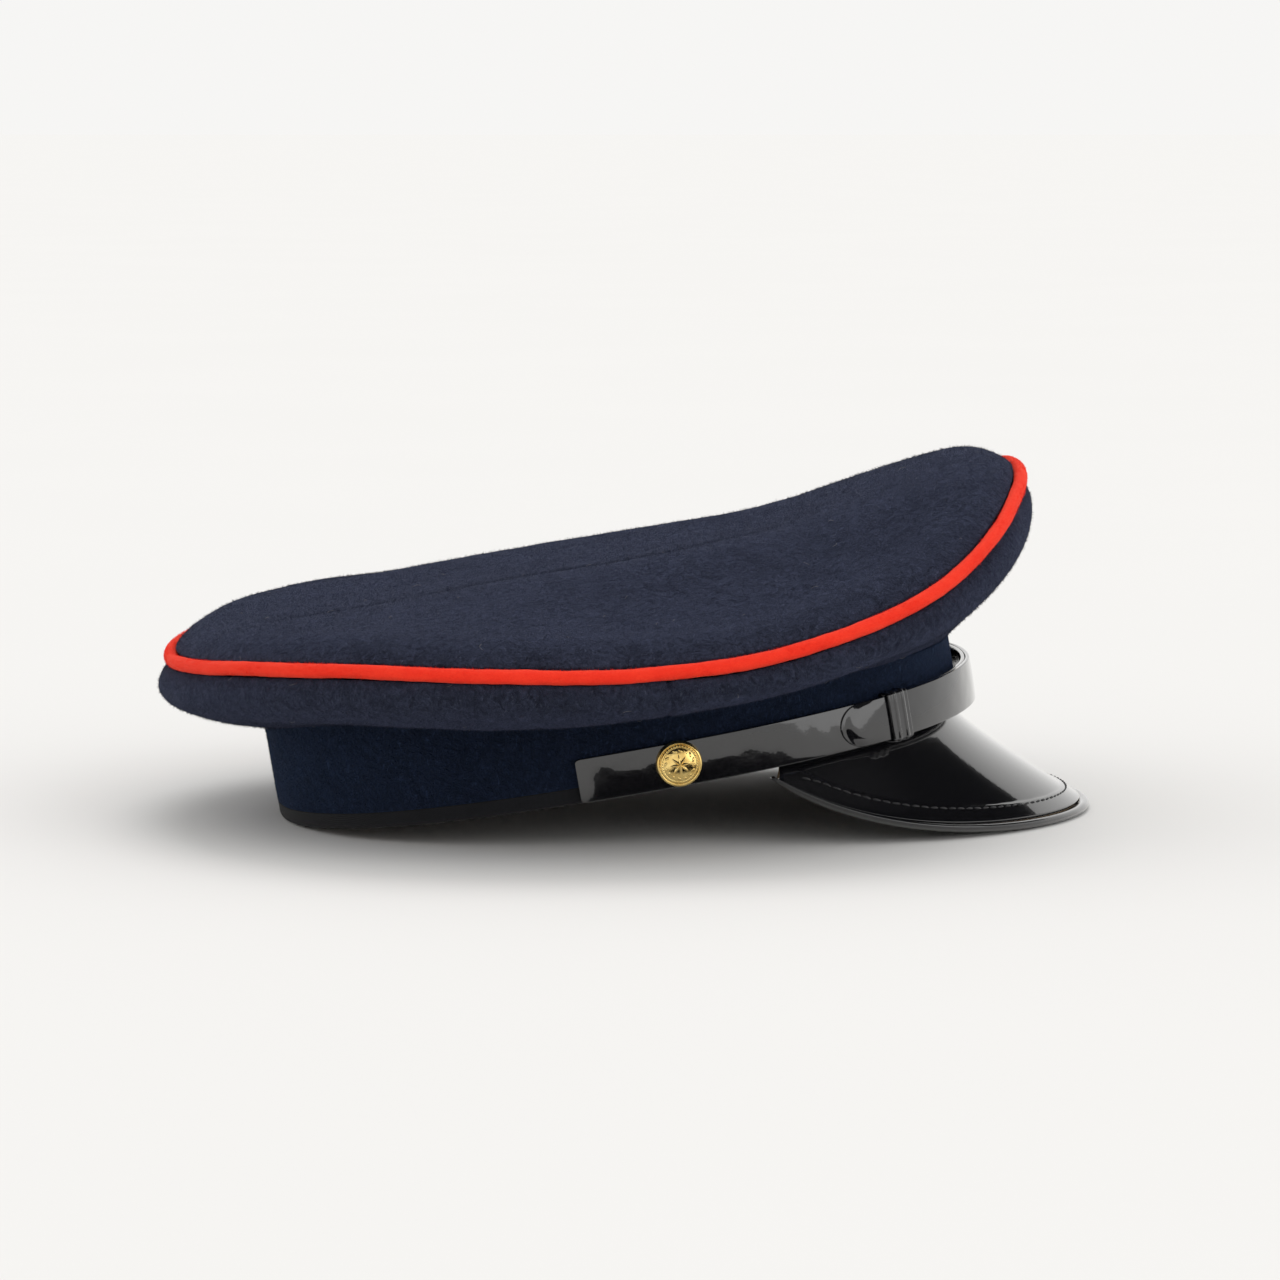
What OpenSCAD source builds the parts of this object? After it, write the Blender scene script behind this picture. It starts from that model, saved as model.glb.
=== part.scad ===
// Military peaked cap: oval wool crown with a piped edge, upright band, patent peak and chin strap.
// Every sub-part is drawn in the cap's own frame, with x forward, y to the wearer's left and z up from
// the lower edge of the band, and is then stood at rest on its rear lower edge and the peak's rim.

/* [Band] */
// Half length of the band's oval, from its middle to its front
band_half_length = 106.5; // [98:0.5:112]
// Half width of the band's oval
band_half_width = 87.5; // [80:0.5:92]
// Roundness of the band's oval, where 2 is an ellipse
band_power = 2.3; // [2:0.1:2.6]
// Height of the band at the middle of its side
band_height = 24; // [20:0.5:30]
// Extra height of the band's upper edge on the rear corners
band_rear_lift = 18; // [0:1:24]
// Amount by which the band is lower at the front and higher at the rear
band_tilt = 2.7; // [0:0.1:4]
// Height of the dark welt along the band's lower edge
welt_height = 4.8; // [3:0.2:5]

/* [Crown] */
// Half length of the piped edge, from the band's middle to the front
crown_front = 136; // [128:0.5:140]
// Half length of the piped edge, from the band's middle to the rear
crown_rear = 131; // [124:0.5:136]
// Half width of the piped edge
crown_side = 120.3; // [112:0.5:124]
// Roundness of the piped edge's oval
crown_power = 2.19; // [2:0.01:2.4]
// Height of the piping at the middle of its side
piping_side_height = 39; // [36:0.5:44]
// Diameter of the piping cord
piping_diameter = 4.2; // [3:0.1:4.4]
// Thickness of the wool cloth with its interlining
cloth = 2; // [1.4:0.1:2.2]
// Height of the crown at its middle
crown_height = 61.6; // [58:0.2:66]
// Distance of the two long ridges of the top panel from its middle line
ridge_offset = 46; // [36:1:54]
// Width over which the top panel swells up beside the piping
puff_width = 16; // [12:1:20]

/* [Peak] */
// Forward reach of the peak's rim from its corners
peak_reach = 104; // [96:1:108]
// Distance of the peak's corners in front of the band's middle
peak_corner_x = 37; // [34:1:42]
// Half width of the peak between its corners
peak_half_width = 84; // [80:0.5:86]
// Thickness of the peak's lining, board and patent layers
peak_layers = [0.6, 1.6, 0.8]; // [0.4:0.1:2]
// Diameter of the bead round the peak's rim
bead_diameter = 3.4; // [3:0.1:3.6]

/* [Chin strap] */
// Width of the strap
strap_width = 13.3; // [12:0.1:14]
// Thickness of one layer of the strap
strap_thickness = 1.2; // [1:0.1:1.4]
// Gap between strap and band at the sides
strap_gap = 0.4; // [0.3:0.1:0.6]
// Extra stand-off of the strap at the front
strap_stand_off = 2.5; // [1.5:0.1:2.8]
// Angle round the band of each strap half's rear end
strap_rear_angle = 101.5; // [94:0.5:104]
// Angle round the band of the tongue on the wearer's right
tongue_angle = 52; // [42:1:56]
// Angle round the band of the middle of each keeper
keeper_angle = 40.5; // [34:0.5:44]

/* [Buttons and badge] */
// Distance of the side buttons in front of the band's middle
button_x = 12; // [8:0.5:20]
// Diameter of a side button
button_diameter = 13.7; // [12:0.1:14.5]
// Diameter of a button's shank
shank_diameter = 2.4; // [2:0.1:2.6]
// Radial clearance round a button's shank
shank_clearance = 0.06; // [0.04:0.01:0.08]
// Width of the cap badge
badge_width = 28; // [24:1:32]

/* [Inside] */
// Height of the leather sweatband
sweatband_height = 36; // [30:1:40]
// Thickness of the leather sweatband
sweatband_thickness = 1; // [0.8:0.1:1.2]

/* [Hidden] */

// Pitch of the cap at rest on its rear lower edge and the rim of its peak
pitch = 9.5;
// Rounding of the welt's lower edge, and the distance from the middle to the line on which the rear rests
welt_round = 1;
rest_heel = band_half_length - welt_round;
// Shift that puts the middle of the resting cap's length over the origin
rest_shift = -2.9;
navy = [0.06, 0.08, 0.16];
band_navy = [0.05, 0.09, 0.22];
scarlet = [0.85, 0.12, 0.08];
patent_black = [0.05, 0.05, 0.06];
gilt = [0.85, 0.65, 0.25];
leather_tan = [0.45, 0.27, 0.15];
satin_black = [0.12, 0.12, 0.14];
steel = [0.6, 0.6, 0.62];

// Angular step of the parts that run round the oval
step = 5;
whole_turn = [for (phi = [0:step:360 - step]) phi];
// Radial thickness of the layers of the band, from the outside inwards
cloth_in = 1.6;
stiffener_in = 2.9;
lining_in = 4.2;
sweatband_out = 4.8;
sweatband_in = sweatband_out + sweatband_thickness;
// Height of the button centres above the band's lower edge
button_z = 7;
button_radius = button_diameter / 2;
shank_radius = shank_diameter / 2;
strap_z = [0.1, strap_width];
strap_middle_z = (strap_z[0] + strap_z[1]) / 2;
strap_half = (strap_z[1] - strap_z[0]) / 2;
// Angle at which the right half ends below the left one
hidden_tip_angle = 54;
keeper_length = 8;
keeper_wall = 0.7;
keeper_clearance = 0.5;
// Distances from the cap's middle plane of a button's rim and of its shank's inner end
button_face = 90;
shank_end = 82.6;
badge_height = badge_width * 1.1;
// Share of the quarters' curve at which the badge's middle lies
badge_place = 0.34;
lug_offset = 7;
lug_length = 4.4;
pin_height = 1.2;

// Radius of an oval that is longer on one side of its middle than on the other
function oval(phi, front, rear, side, power) =
    let (length = cos(phi) >= 0 ? front : rear)
    pow(pow(abs(cos(phi)) / length, power) + pow(abs(sin(phi)) / side, power), -1 / power);

// Blend of three values, one for the front, one for the sides and one for the rear
function around(phi, front, side, rear) =
    let (forward = pow(max(cos(phi), 0), 2), back = pow(max(-cos(phi), 0), 2))
    side + (front - side) * forward + (rear - side) * back;

function polar(phi, r, z) = [r * cos(phi), r * sin(phi), z];
function mix(a, b, share) = a + (b - a) * share;
function clamp01(value) = min(max(value, 0), 1);
function smooth(value) = let (t = clamp01(value)) t * t * (3 - 2 * t);

// Points of a cubic curve and its slope
function curve(p, t) =
    pow(1 - t, 3) * p[0] + 3 * t * pow(1 - t, 2) * p[1] + 3 * t * t * (1 - t) * p[2] + pow(t, 3) * p[3];
function slope(p, t) =
    3 * pow(1 - t, 2) * (p[1] - p[0]) + 6 * t * (1 - t) * (p[2] - p[1]) + 3 * t * t * (p[3] - p[2]);

// Outer face and upper edge of the band
function band_r(phi) = oval(phi, band_half_length, band_half_length, band_half_width, band_power);
function seam_z(phi) =
    let (x = band_r(phi) * cos(phi) / band_half_length)
    band_height - band_tilt * x + (x < 0 ? band_rear_lift * x * x * (1.14 - x * x) : 0);

// Middle line of the piping: it droops at the sides and climbs to the front
function pipe_r(phi) = oval(phi, crown_front, crown_rear, crown_side, crown_power);
function pipe_z(phi) =
    let (x = pipe_r(phi) * cos(phi) / (cos(phi) >= 0 ? crown_front : crown_rear))
    let (dip = 2.2 * exp(-pow((x - 0.76) / 0.2, 2)))
    piping_side_height - 16.5 * x + 22.3 * x * x + 23.3 * pow(x, 3) - dip;

// Outer curve of the quarters in one meridian, from the band's upper edge to the piping, as [r, z]
function quarter_curve(phi) =
    let (low = [band_r(phi), seam_z(phi)], high = [pipe_r(phi) + 0.3, pipe_z(phi) - 2.3])
    [low, low + [around(phi, 14.3, 22, 21), around(phi, 13.5, -2, 7)],
        high + [around(phi, 8.5, 9.5, 13), -around(phi, 13.5, 10, 10.5)], high];

// A point of the quarters, at a depth measured inwards from the outer face
function quarter_rz(phi, t, depth) =
    let (p = quarter_curve(phi), tangent = slope(p, t), unit = tangent / norm(tangent))
    curve(p, t) + depth * [-unit[1], unit[0]];

// Height of the top panel's upper face at a distance inside the piping's middle line
function crown_middle_z(x) =
    let (c = x / 134, rise = 1.7 * exp(-pow((c + 0.3) / 0.28, 2)))
    crown_height + 3 * c + 6.5 * c * c + 2.5 * pow(c, 3) + rise;
function crown_z(phi, inset) =
    let (r = pipe_r(phi) - inset, share = r / pipe_r(phi), x = r * cos(phi), y = r * sin(phi))
    let (edge = pipe_z(phi), puff = around(phi, 7.5, 10, 7.7))
    let (swell = 1 - pow(clamp01((puff_width - inset) / puff_width), 2.4))
    let (level = smooth((0.88 - share) / 0.52), fade = clamp01((0.97 - share) / 0.2))
    let (ridge = 1.6 * exp(-pow((abs(y) - ridge_offset) / 17, 2)) * clamp01(1 - pow(x / 150, 4)))
    let (dip = 2.2 * exp(-pow(y / 30, 2)) * clamp01(1 - pow(x / 118, 4)))
    let (slump = 1.2 * pow(2 * sin(phi) * max(-cos(phi), 0), 2))
    edge + puff * swell + (crown_middle_z(x) - edge - puff) * level + (ridge - dip) * fade
        - slump * swell * clamp01((share - 0.2) / 0.5);

// Rim of the peak: a half oval that lies on the table and climbs to the band at its corners
function rim_rest_z(w) = 2.48 + 20.2 * pow(abs(w) / 90, 5.6);
function rim_point(w) =
    let (x = peak_corner_x + peak_reach * cos(w))
    [x, peak_half_width * sin(w), (rim_rest_z(w) - (rest_heel + x) * sin(pitch)) / cos(pitch)];

// The peak's outer face from its root inside the band, at t = 0, to its rim, at t = 1
function peak_curve(w) =
    let (phi = w * 64 / 90, root = polar(phi, band_r(phi) - stiffener_in, -0.15), rim = rim_point(w))
    let (lean = cos(w))
    [root, root + polar(w * 0.7, 2.5, -7.5 * lean - 1), rim + polar(w * 0.8, -9 * lean, 8 * lean + 0.5), rim];
function peak_point(w, t) = curve(peak_curve(w), t);
function peak_normal(w, t) =
    let (along = peak_point(w, min(t + 0.02, 1)) - peak_point(w, max(t - 0.02, 0)))
    let (across = peak_point(min(w + 1, 90), t) - peak_point(max(w - 1, -90), t))
    let (n = cross(across, along)) -n / norm(n);
function peak_at_depth(w, t, depth) = peak_point(w, t) - depth * peak_normal(w, t);

// Distance of the strap's inner face from the band's outer face
function strap_out(phi) = strap_gap + around(phi, strap_stand_off, 0, 0);

// Stands the cap at rest
module at_rest() {
    translate([rest_shift, 0, rest_heel * sin(pitch)]) rotate([0, -pitch, 0]) children();
}

// Closed solid through a list of cross-sections that all have the same number of points. Its two faces are
// split along the same diagonals, so that the layers of a laminate meet without overlap.
module sweep(sections, closed) {
    count = len(sections);
    size = len(sections[0]);
    sides = [for (i = [0:closed ? count - 1 : count - 2]) for (j = [0:size - 1])
        let (a = i * size + j, b = i * size + (j + 1) % size)
        let (c = ((i + 1) % count) * size + (j + 1) % size, d = ((i + 1) % count) * size + j)
        each (j < size / 2 ? [[a, b, c], [a, c, d]] : [[a, b, d], [b, c, d]])];
    first = [for (j = [size - 1:-1:0]) j];
    last = [for (j = [0:size - 1]) (count - 1) * size + j];
    polyhedron([for (s = sections) each s], closed ? sides : concat(sides, [first, last]));
}

// Closed solid of rings that start and end in a single point
module ring_stack(start, rings, end) {
    size = len(rings[0]);
    count = len(rings);
    points = concat([start], [for (ring = rings) each ring], [end]);
    tip = len(points) - 1;
    opening = [for (j = [0:size - 1]) [0, 1 + (j + 1) % size, 1 + j]];
    walls = [for (i = [0:count - 2]) for (j = [0:size - 1])
        let (a = 1 + i * size + j, b = 1 + i * size + (j + 1) % size)
        each [[a, b, b + size], [a, b + size, a + size]]];
    closing = [for (j = [0:size - 1]) [tip, 1 + (count - 1) * size + j, 1 + (count - 1) * size + (j + 1) % size]];
    polyhedron(points, concat(opening, walls, closing));
}

// Round cord along a line of radius and height functions, offset from the piping
module crown_ring(inset, drop, radius, sides) {
    sweep([for (phi = whole_turn) [for (k = [0:sides - 1])
        let (turn = k * 360 / sides)
        polar(phi, pipe_r(phi) - inset + radius * cos(turn), pipe_z(phi) - drop + radius * sin(turn))]], true);
}

// Ring of the band between two inward offsets and two heights
module band_ring(inner, outer, low, high) {
    sweep([for (phi = whole_turn) [
        polar(phi, band_r(phi) - inner, low), polar(phi, band_r(phi) - outer, low),
        polar(phi, band_r(phi) - outer, high), polar(phi, band_r(phi) - inner, high)]], true);
}

// Both faces of the top panel, from its middle line out to its edge and back
module crown_top_panel() {
    shares = [0.12, 0.24, 0.34, 0.42, 0.5, 0.6, 0.7, 0.79];
    insets = [16, 12, 8.5, 5.5, 3.2, 1.6];
    upper = concat(
        [for (s = shares) [for (phi = whole_turn)
            let (inset = pipe_r(phi) * (1 - s)) polar(phi, pipe_r(phi) - inset, crown_z(phi, inset))]],
        [for (d = insets) [for (phi = whole_turn) polar(phi, pipe_r(phi) - d, crown_z(phi, d))]]);
    edge = [[for (phi = whole_turn) polar(phi, pipe_r(phi) - 2.9, pipe_z(phi) + 0.2)]];
    lower = concat(
        [for (d = [5.8, 9, 13, 17.5]) [for (phi = whole_turn)
            polar(phi, pipe_r(phi) - d, crown_z(phi, d - (d < 12 ? 0.8 : 0)) - cloth)]],
        [for (k = [0:6]) let (s = [0.77, 0.68, 0.58, 0.48, 0.38, 0.24, 0.12][k]) [for (phi = whole_turn)
            let (inset = pipe_r(phi) * (1 - s)) polar(phi, pipe_r(phi) - inset, crown_z(phi, inset) - cloth)]]);
    middle = crown_z(90, pipe_r(90));
    color(navy) at_rest() ring_stack([0, 0, middle], concat(upper, edge, lower), [0, 0, middle - cloth]);
}

// One quarter of the crown's side, between two angles
module quarter(from, to) {
    stops = [0, 0.12, 0.25, 0.38, 0.5, 0.62, 0.74, 0.85, 0.93, 1];
    color(navy) at_rest() sweep([for (phi = [from:step:to])
        concat(
            [polar(phi, band_r(phi) - cloth_in, seam_z(phi))],
            [for (t = stops) let (p = quarter_rz(phi, t, 0)) polar(phi, p[0], p[1])],
            [for (k = [9:-1:0]) let (p = quarter_rz(phi, stops[k], cloth)) polar(phi, p[0], p[1])],
            [polar(phi, band_r(phi) - cloth_in, seam_z(phi) + cloth)])], false);
}

module quarter_front_left() { quarter(0, 85); }
module quarter_rear_left() { quarter(85, 180); }
module quarter_rear_right() { quarter(180, 275); }
module quarter_front_right() { mirror([0, 1, 0]) quarter(0, 85); }

module crown_piping() { color(scarlet) at_rest() crown_ring(0, 0, piping_diameter / 2, 8); }

// Spring wire that spreads the crown, its two ends joined at the rear by a ferrule
module crown_wire() { color(steel) at_rest() crown_ring(6, 1.2, 1, 6); }

module crown_wire_ferrule() {
    rear = [-(pipe_r(180) - 6), 0, pipe_z(180) - 1.2];
    color(gilt) at_rest() translate(rear) rotate([90, 0, 0]) difference() {
        cylinder(h = 14, r = 2.1, center = true, $fn = 32);
        cylinder(h = 15, r = 1.35, center = true, $fn = 32);
    }
}

module crown_padding() { color([0.8, 0.8, 0.76]) at_rest() crown_ring(12.2, 0.6, 3.2, 8); }

// Springy stay that holds the front of the crown up
module front_stay() {
    color([0.75, 0.75, 0.7]) at_rest() sweep([for (k = [0:9]) let (t = 0.4 + k * 0.052)
        [for (corner = [[-3, 2.3], [3, 2.3], [3, 3.4], [-3, 3.4]])
            let (p = quarter_rz(corner[0], t, corner[1])) polar(corner[0], p[0], p[1])]], false);
}

// Height of the underside of the tip lining
function lining_z(phi, share) = crown_z(phi, pipe_r(phi) * (1 - share)) - 6.5;

module tip_lining() {
    shares = [0.2, 0.38, 0.55, 0.7, 0.82];
    upper = [for (s = shares) [for (phi = whole_turn) polar(phi, pipe_r(phi) * s, lining_z(phi, s) + 0.6)]];
    lower = [for (k = [4:-1:0]) let (s = shares[k])
        [for (phi = whole_turn) polar(phi, pipe_r(phi) * s, lining_z(phi, s))]];
    middle = lining_z(90, 0);
    color(satin_black) at_rest() ring_stack([0, 0, middle + 0.6], concat(upper, lower), [0, 0, middle]);
}

module side_lining() {
    color(satin_black) at_rest() sweep([for (phi = whole_turn)
        let (low_r = band_r(phi) - lining_in, low_z = seam_z(phi) + 0.3, high_r = pipe_r(phi) * 0.82)
        let (high_z = lining_z(phi, 0.82) - 0.25)
        [polar(phi, low_r + 0.3, low_z), polar(phi, high_r + 0.3, high_z),
            polar(phi, high_r - 0.3, high_z), polar(phi, low_r - 0.3, low_z)]], true);
}

// Clear plastic shield below the tip lining
module sweat_shield() {
    shares = [0.3, 0.6, 0.85, 1];
    function shield(phi, s) = let (r = oval(phi, 66, 66, 50, 2)) r * s;
    function ring(s, drop) = [for (phi = whole_turn)
        let (r = shield(phi, s)) polar(phi, r, lining_z(phi, r / pipe_r(phi)) - drop)];
    upper = [for (s = shares) ring(s, 1.3)];
    lower = [for (k = [3:-1:0]) ring(shares[k], 1.7)];
    middle = lining_z(90, 0);
    color([0.8, 0.85, 0.88, 0.4]) at_rest()
        ring_stack([0, 0, middle - 1.3], concat(upper, lower), [0, 0, middle - 1.7]);
}

// Holes in which the shanks of the two side buttons turn
module shank_holes() {
    translate([button_x, 0, button_z]) rotate([90, 0, 0])
        cylinder(h = 240, r = shank_radius + shank_clearance, center = true, $fn = 32);
}

module band_cloth() {
    color(band_navy) at_rest() difference() {
        sweep([for (phi = whole_turn) [
            polar(phi, band_r(phi) - cloth_in, welt_height), polar(phi, band_r(phi), welt_height),
            polar(phi, band_r(phi), seam_z(phi)), polar(phi, band_r(phi) - cloth_in, seam_z(phi))]], true);
        shank_holes();
    }
}

module band_stiffener() {
    color([0.7, 0.68, 0.6]) at_rest() difference() {
        sweep([for (phi = whole_turn) [
            polar(phi, band_r(phi) - stiffener_in, 1), polar(phi, band_r(phi) - cloth_in, 1),
            polar(phi, band_r(phi) - cloth_in, seam_z(phi)),
            polar(phi, band_r(phi) - stiffener_in, seam_z(phi))]], true);
        shank_holes();
    }
}

// Dark tape that wraps the lower edge of the band
module band_welt() {
    color([0.03, 0.03, 0.06]) at_rest() sweep([for (phi = whole_turn) let (r = band_r(phi)) [
        polar(phi, r - stiffener_in, 0), polar(phi, r - welt_round, 0), polar(phi, r, welt_round),
        polar(phi, r, welt_height), polar(phi, r - cloth_in, welt_height), polar(phi, r - cloth_in, 1),
        polar(phi, r - stiffener_in, 1)]], true);
}

module sweatband() {
    color(leather_tan) at_rest() band_ring(sweatband_in, sweatband_out, 0.4, sweatband_height);
}

// Cord sewn along the lower edge of the sweatband
module sweatband_reed() {
    color([0.3, 0.18, 0.1]) at_rest() sweep([for (phi = whole_turn) [for (k = [0:5])
        let (turn = k * 60)
        polar(phi, band_r(phi) - sweatband_in - 0.8 + 0.75 * cos(turn), 1.3 + 0.75 * sin(turn))]], true);
}

// Small bow of tape where the sweatband's ends meet at the rear
module sweatband_bow() {
    inner = -(band_r(180) - sweatband_in) + 0.7;
    color(satin_black) at_rest() translate([inner, 0, 11]) rotate([0, 90, 0]) {
        cylinder(h = 2, r = 2, $fn = 32);
        for (side = [-1, 1])
            translate([0, side * 6.2, 0]) linear_extrude(1.2) difference() {
                scale([1, 1.55]) circle(r = 3, $fn = 24);
                scale([1, 1.55]) circle(r = 1.3, $fn = 24);
            }
    }
}

// Foam pad between the sweatband and the front of the band
module forehead_pad() {
    outer = stiffener_in + 0.1;
    inner = sweatband_out - 0.1;
    color([0.25, 0.25, 0.25]) at_rest() sweep([for (phi = [-30:step:30]) let (r = band_r(phi)) [
        polar(phi, r - inner, 7), polar(phi, r - outer, 8), polar(phi, r - outer, 19),
        polar(phi, r - inner, 20)]], false);
}

// One layer of the peak between two depths below its outer face
module peak_layer(top, bottom) {
    stops = [0, 0.14, 0.28, 0.42, 0.56, 0.7, 0.84, 0.955];
    at_rest() sweep([for (k = [0:28]) let (w = -88 + k * 176 / 28)
        concat([for (t = stops) peak_at_depth(w, t, top)],
            [for (k = [7:-1:0]) peak_at_depth(w, stops[k], bottom)])], false);
}

module peak_patent() { color(patent_black) peak_layer(0, peak_layers[2]); }

module peak_board() {
    color([0.35, 0.3, 0.25]) peak_layer(peak_layers[2], peak_layers[2] + peak_layers[1]);
}

module peak_lining() {
    depth = peak_layers[2] + peak_layers[1];
    color([0.1, 0.16, 0.12]) peak_layer(depth, depth + peak_layers[0]);
}

// Rolled bead along the peak's rim
module peak_binding() {
    total = peak_layers[0] + peak_layers[1] + peak_layers[2];
    radius = bead_diameter / 2;
    color(patent_black) at_rest() sweep([for (k = [0:36]) let (w = -89 + k * 178 / 36)
        let (out = polar(w * 0.9, 1, -0.5 * cos(w)), normal = peak_normal(w, 0.96))
        let (unit = out / norm(out), centre = peak_at_depth(w, 0.96, total / 2) + unit * (radius + 0.3))
        [for (j = [0:7]) let (turn = j * 45 + 22.5)
            centre + radius * (cos(turn) * unit + sin(turn) * normal)]], false);
}

// Stations of a strap half from its rear end to its rounded tip: [angle, half height]
function strap_stations(rear, tip) =
    let (arc = 4.6, heading = tip > rear ? 1 : -1, first = heading * step * ceil(heading * rear / step + 0.3))
    concat([[rear, strap_half - 1.2], [rear + heading * 0.7, strap_half]],
        [for (phi = [first:heading * step:tip - heading * (arc + 0.6)]) [phi, strap_half]],
        [for (turn = [0:18:90]) [tip - heading * arc * (1 - sin(turn)), strap_half * max(cos(turn), 0.12)]]);

// One half of the chin strap. The left half lies over the right one as far as the right one's hidden tip.
module strap_half_solid(rear, tip, over) {
    function lift(phi) = over * (strap_thickness + 0.15) * (1 - smooth((phi - hidden_tip_angle - 2) / 8));
    function section(phi, half) = let (r = band_r(phi) + strap_out(phi) + lift(phi)) [
        polar(phi, r, strap_middle_z - half), polar(phi, r + strap_thickness, strap_middle_z - half),
        polar(phi, r + strap_thickness, strap_middle_z + half), polar(phi, r, strap_middle_z + half)];
    stations = strap_stations(rear, tip);
    ordered = tip > rear ? stations : [for (k = [len(stations) - 1:-1:0]) stations[k]];
    color(patent_black) at_rest() difference() {
        sweep([for (s = ordered) section(s[0], s[1])], false);
        shank_holes();
    }
}

module strap_right() { strap_half_solid(-strap_rear_angle, hidden_tip_angle, 0); }
module strap_left() { strap_half_solid(strap_rear_angle, -tongue_angle, 1); }

// Middle of the doubled strap, and the direction in which it runs there
function strap_line(phi) = polar(phi, band_r(phi) + strap_out(phi) + strap_thickness, strap_middle_z);
function strap_heading(phi) =
    let (step_along = strap_line(phi + 1) - strap_line(phi - 1)) atan2(step_along[1], step_along[0]);

// Loop round both layers of the strap, with two raised ribs
module keeper(phi) {
    opening = [2 * strap_thickness + 2 * keeper_clearance, strap_width + 0.4];
    module loop(wall, length) {
        translate([-length / 2, 0, 0]) rotate([90, 0, 90]) linear_extrude(length) difference() {
            square(opening + 2 * [wall, wall], center = true);
            square(opening, center = true);
        }
    }
    color(patent_black) at_rest() translate(strap_line(phi)) rotate([0, 0, strap_heading(phi)]) {
        loop(keeper_wall, keeper_length);
        for (rib = [-1, 1]) translate([rib * keeper_length / 5, 0, 0]) difference() {
            loop(keeper_wall + 0.35, 1.2);
            // The side towards the band stays plain
            translate([0, opening[0] / 2 + keeper_wall + 2, 0])
                cube([4, 4, 40], center = true);
        }
    }
}

module keeper_right() { keeper(-keeper_angle); }
module keeper_left() { keeper(keeper_angle); }

// Puts a piece that is drawn along z, outwards from the band's middle plane, on one side of the cap
module on_side(side) {
    at_rest() translate([button_x, 0, button_z]) rotate([side * -90, 0, 0]) children();
}

// Hollow dome with a turned edge
module button_dome(side) {
    rise = 3.1;
    ball = (pow(button_radius, 2) + pow(rise, 2)) / (2 * rise);
    wall = 0.5;
    function dome(r, radius) = button_face + rise - ball + sqrt(radius * radius - r * r);
    steps = [0:0.1:1];
    color(gilt) on_side(side) rotate_extrude($fn = 64) polygon(concat(
        [for (s = steps) [s * button_radius, dome(s * button_radius, ball)]],
        [[button_radius, button_face - 0.7], [button_radius - wall, button_face - 0.7]],
        [for (s = steps) let (r = (1 - s) * (button_radius - wall)) [r, dome(r, ball - wall)]]));
}

// Flat back with the seat of the shank
module button_back(side) {
    color(gilt) on_side(side) translate([0, 0, button_face - 0.7]) difference() {
        cylinder(h = 0.5, r = button_radius - 0.55, $fn = 64);
        translate([0, 0, -0.1]) cylinder(h = 0.7, r = shank_radius, $fn = 32);
    }
}

module button_shank(side) {
    color(gilt) on_side(side) translate([0, 0, shank_end])
        cylinder(h = button_face - 0.2 - shank_end, r = shank_radius, $fn = 32);
}

// Split ring that holds the shank behind the band
module split_ring(side) {
    color(steel) on_side(side) translate([0, 0, shank_end + 0.15]) difference() {
        cylinder(h = 0.9, r = shank_radius + 1.5, $fn = 32);
        translate([0, 0, -0.1]) cylinder(h = 1.1, r = shank_radius, $fn = 32);
        translate([shank_radius + 0.8, 0, 0]) cube([2.4, 0.5, 4], center = true);
    }
}

module button_dome_right() { button_dome(-1); }
module button_dome_left() { button_dome(1); }
module button_back_right() { button_back(-1); }
module button_back_left() { button_back(1); }
module button_shank_right() { button_shank(-1); }
module button_shank_left() { button_shank(1); }
module split_ring_right() { split_ring(-1); }
module split_ring_left() { split_ring(1); }

// Puts a piece of the badge on the slope of the front quarters: x across, y up the slope, z outwards
module on_front() {
    p = quarter_curve(0);
    foot = curve(p, badge_place);
    tilt = slope(p, badge_place);
    at_rest() translate([foot[0], 0, foot[1]]) rotate([0, -atan2(tilt[1], tilt[0]), 0])
        rotate([0, 180, -90]) children();
}

function oval_points(half_width, half_height) =
    [for (turn = [0:10:350]) [half_width * cos(turn), half_height * sin(turn)]];

module badge_plate() {
    color(gilt) on_front() translate([0, 0, 0.1]) linear_extrude(0.8)
        polygon(oval_points(badge_width / 2 - 1.4, badge_height / 2 - 1.4));
}

module badge_rim() {
    color(gilt) on_front() translate([0, 0, 0.1]) linear_extrude(1.3) difference() {
        polygon(oval_points(badge_width / 2, badge_height / 2));
        polygon(oval_points(badge_width / 2 - 1.4, badge_height / 2 - 1.4));
    }
}

// Plain star of eight rays
module badge_star() {
    rays = 8;
    color(gilt) on_front() translate([0, 0, 0.9]) linear_extrude(0.6) polygon([for (k = [0:2 * rays - 1])
        let (turn = k * 180 / rays, r = k % 2 == 0 ? badge_width * 0.34 : badge_width * 0.15)
        [r * cos(turn), r * sin(turn)]]);
}

module badge_ball() {
    color(gilt) on_front() translate([0, -badge_height / 2 - 1.4, 1]) sphere(r = 1.3, $fn = 32);
}

// Two lugs that pass through the cloth, and the pin through their eyes that holds them
module badge_lugs() {
    color(gilt) on_front() for (side = [-1, 1]) translate([side * lug_offset, 0, -lug_length]) difference() {
        cylinder(h = lug_length + 0.1, r = 1.1, $fn = 24);
        translate([0, 0, pin_height]) rotate([0, 90, 0]) cylinder(h = 4, r = 0.6, center = true, $fn = 24);
    }
}

module badge_pin() {
    color(steel) on_front() translate([-lug_offset - 4, 0, pin_height - lug_length]) rotate([0, 90, 0])
        cylinder(h = 2 * lug_offset + 8, r = 0.5, $fn = 24);
}

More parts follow.
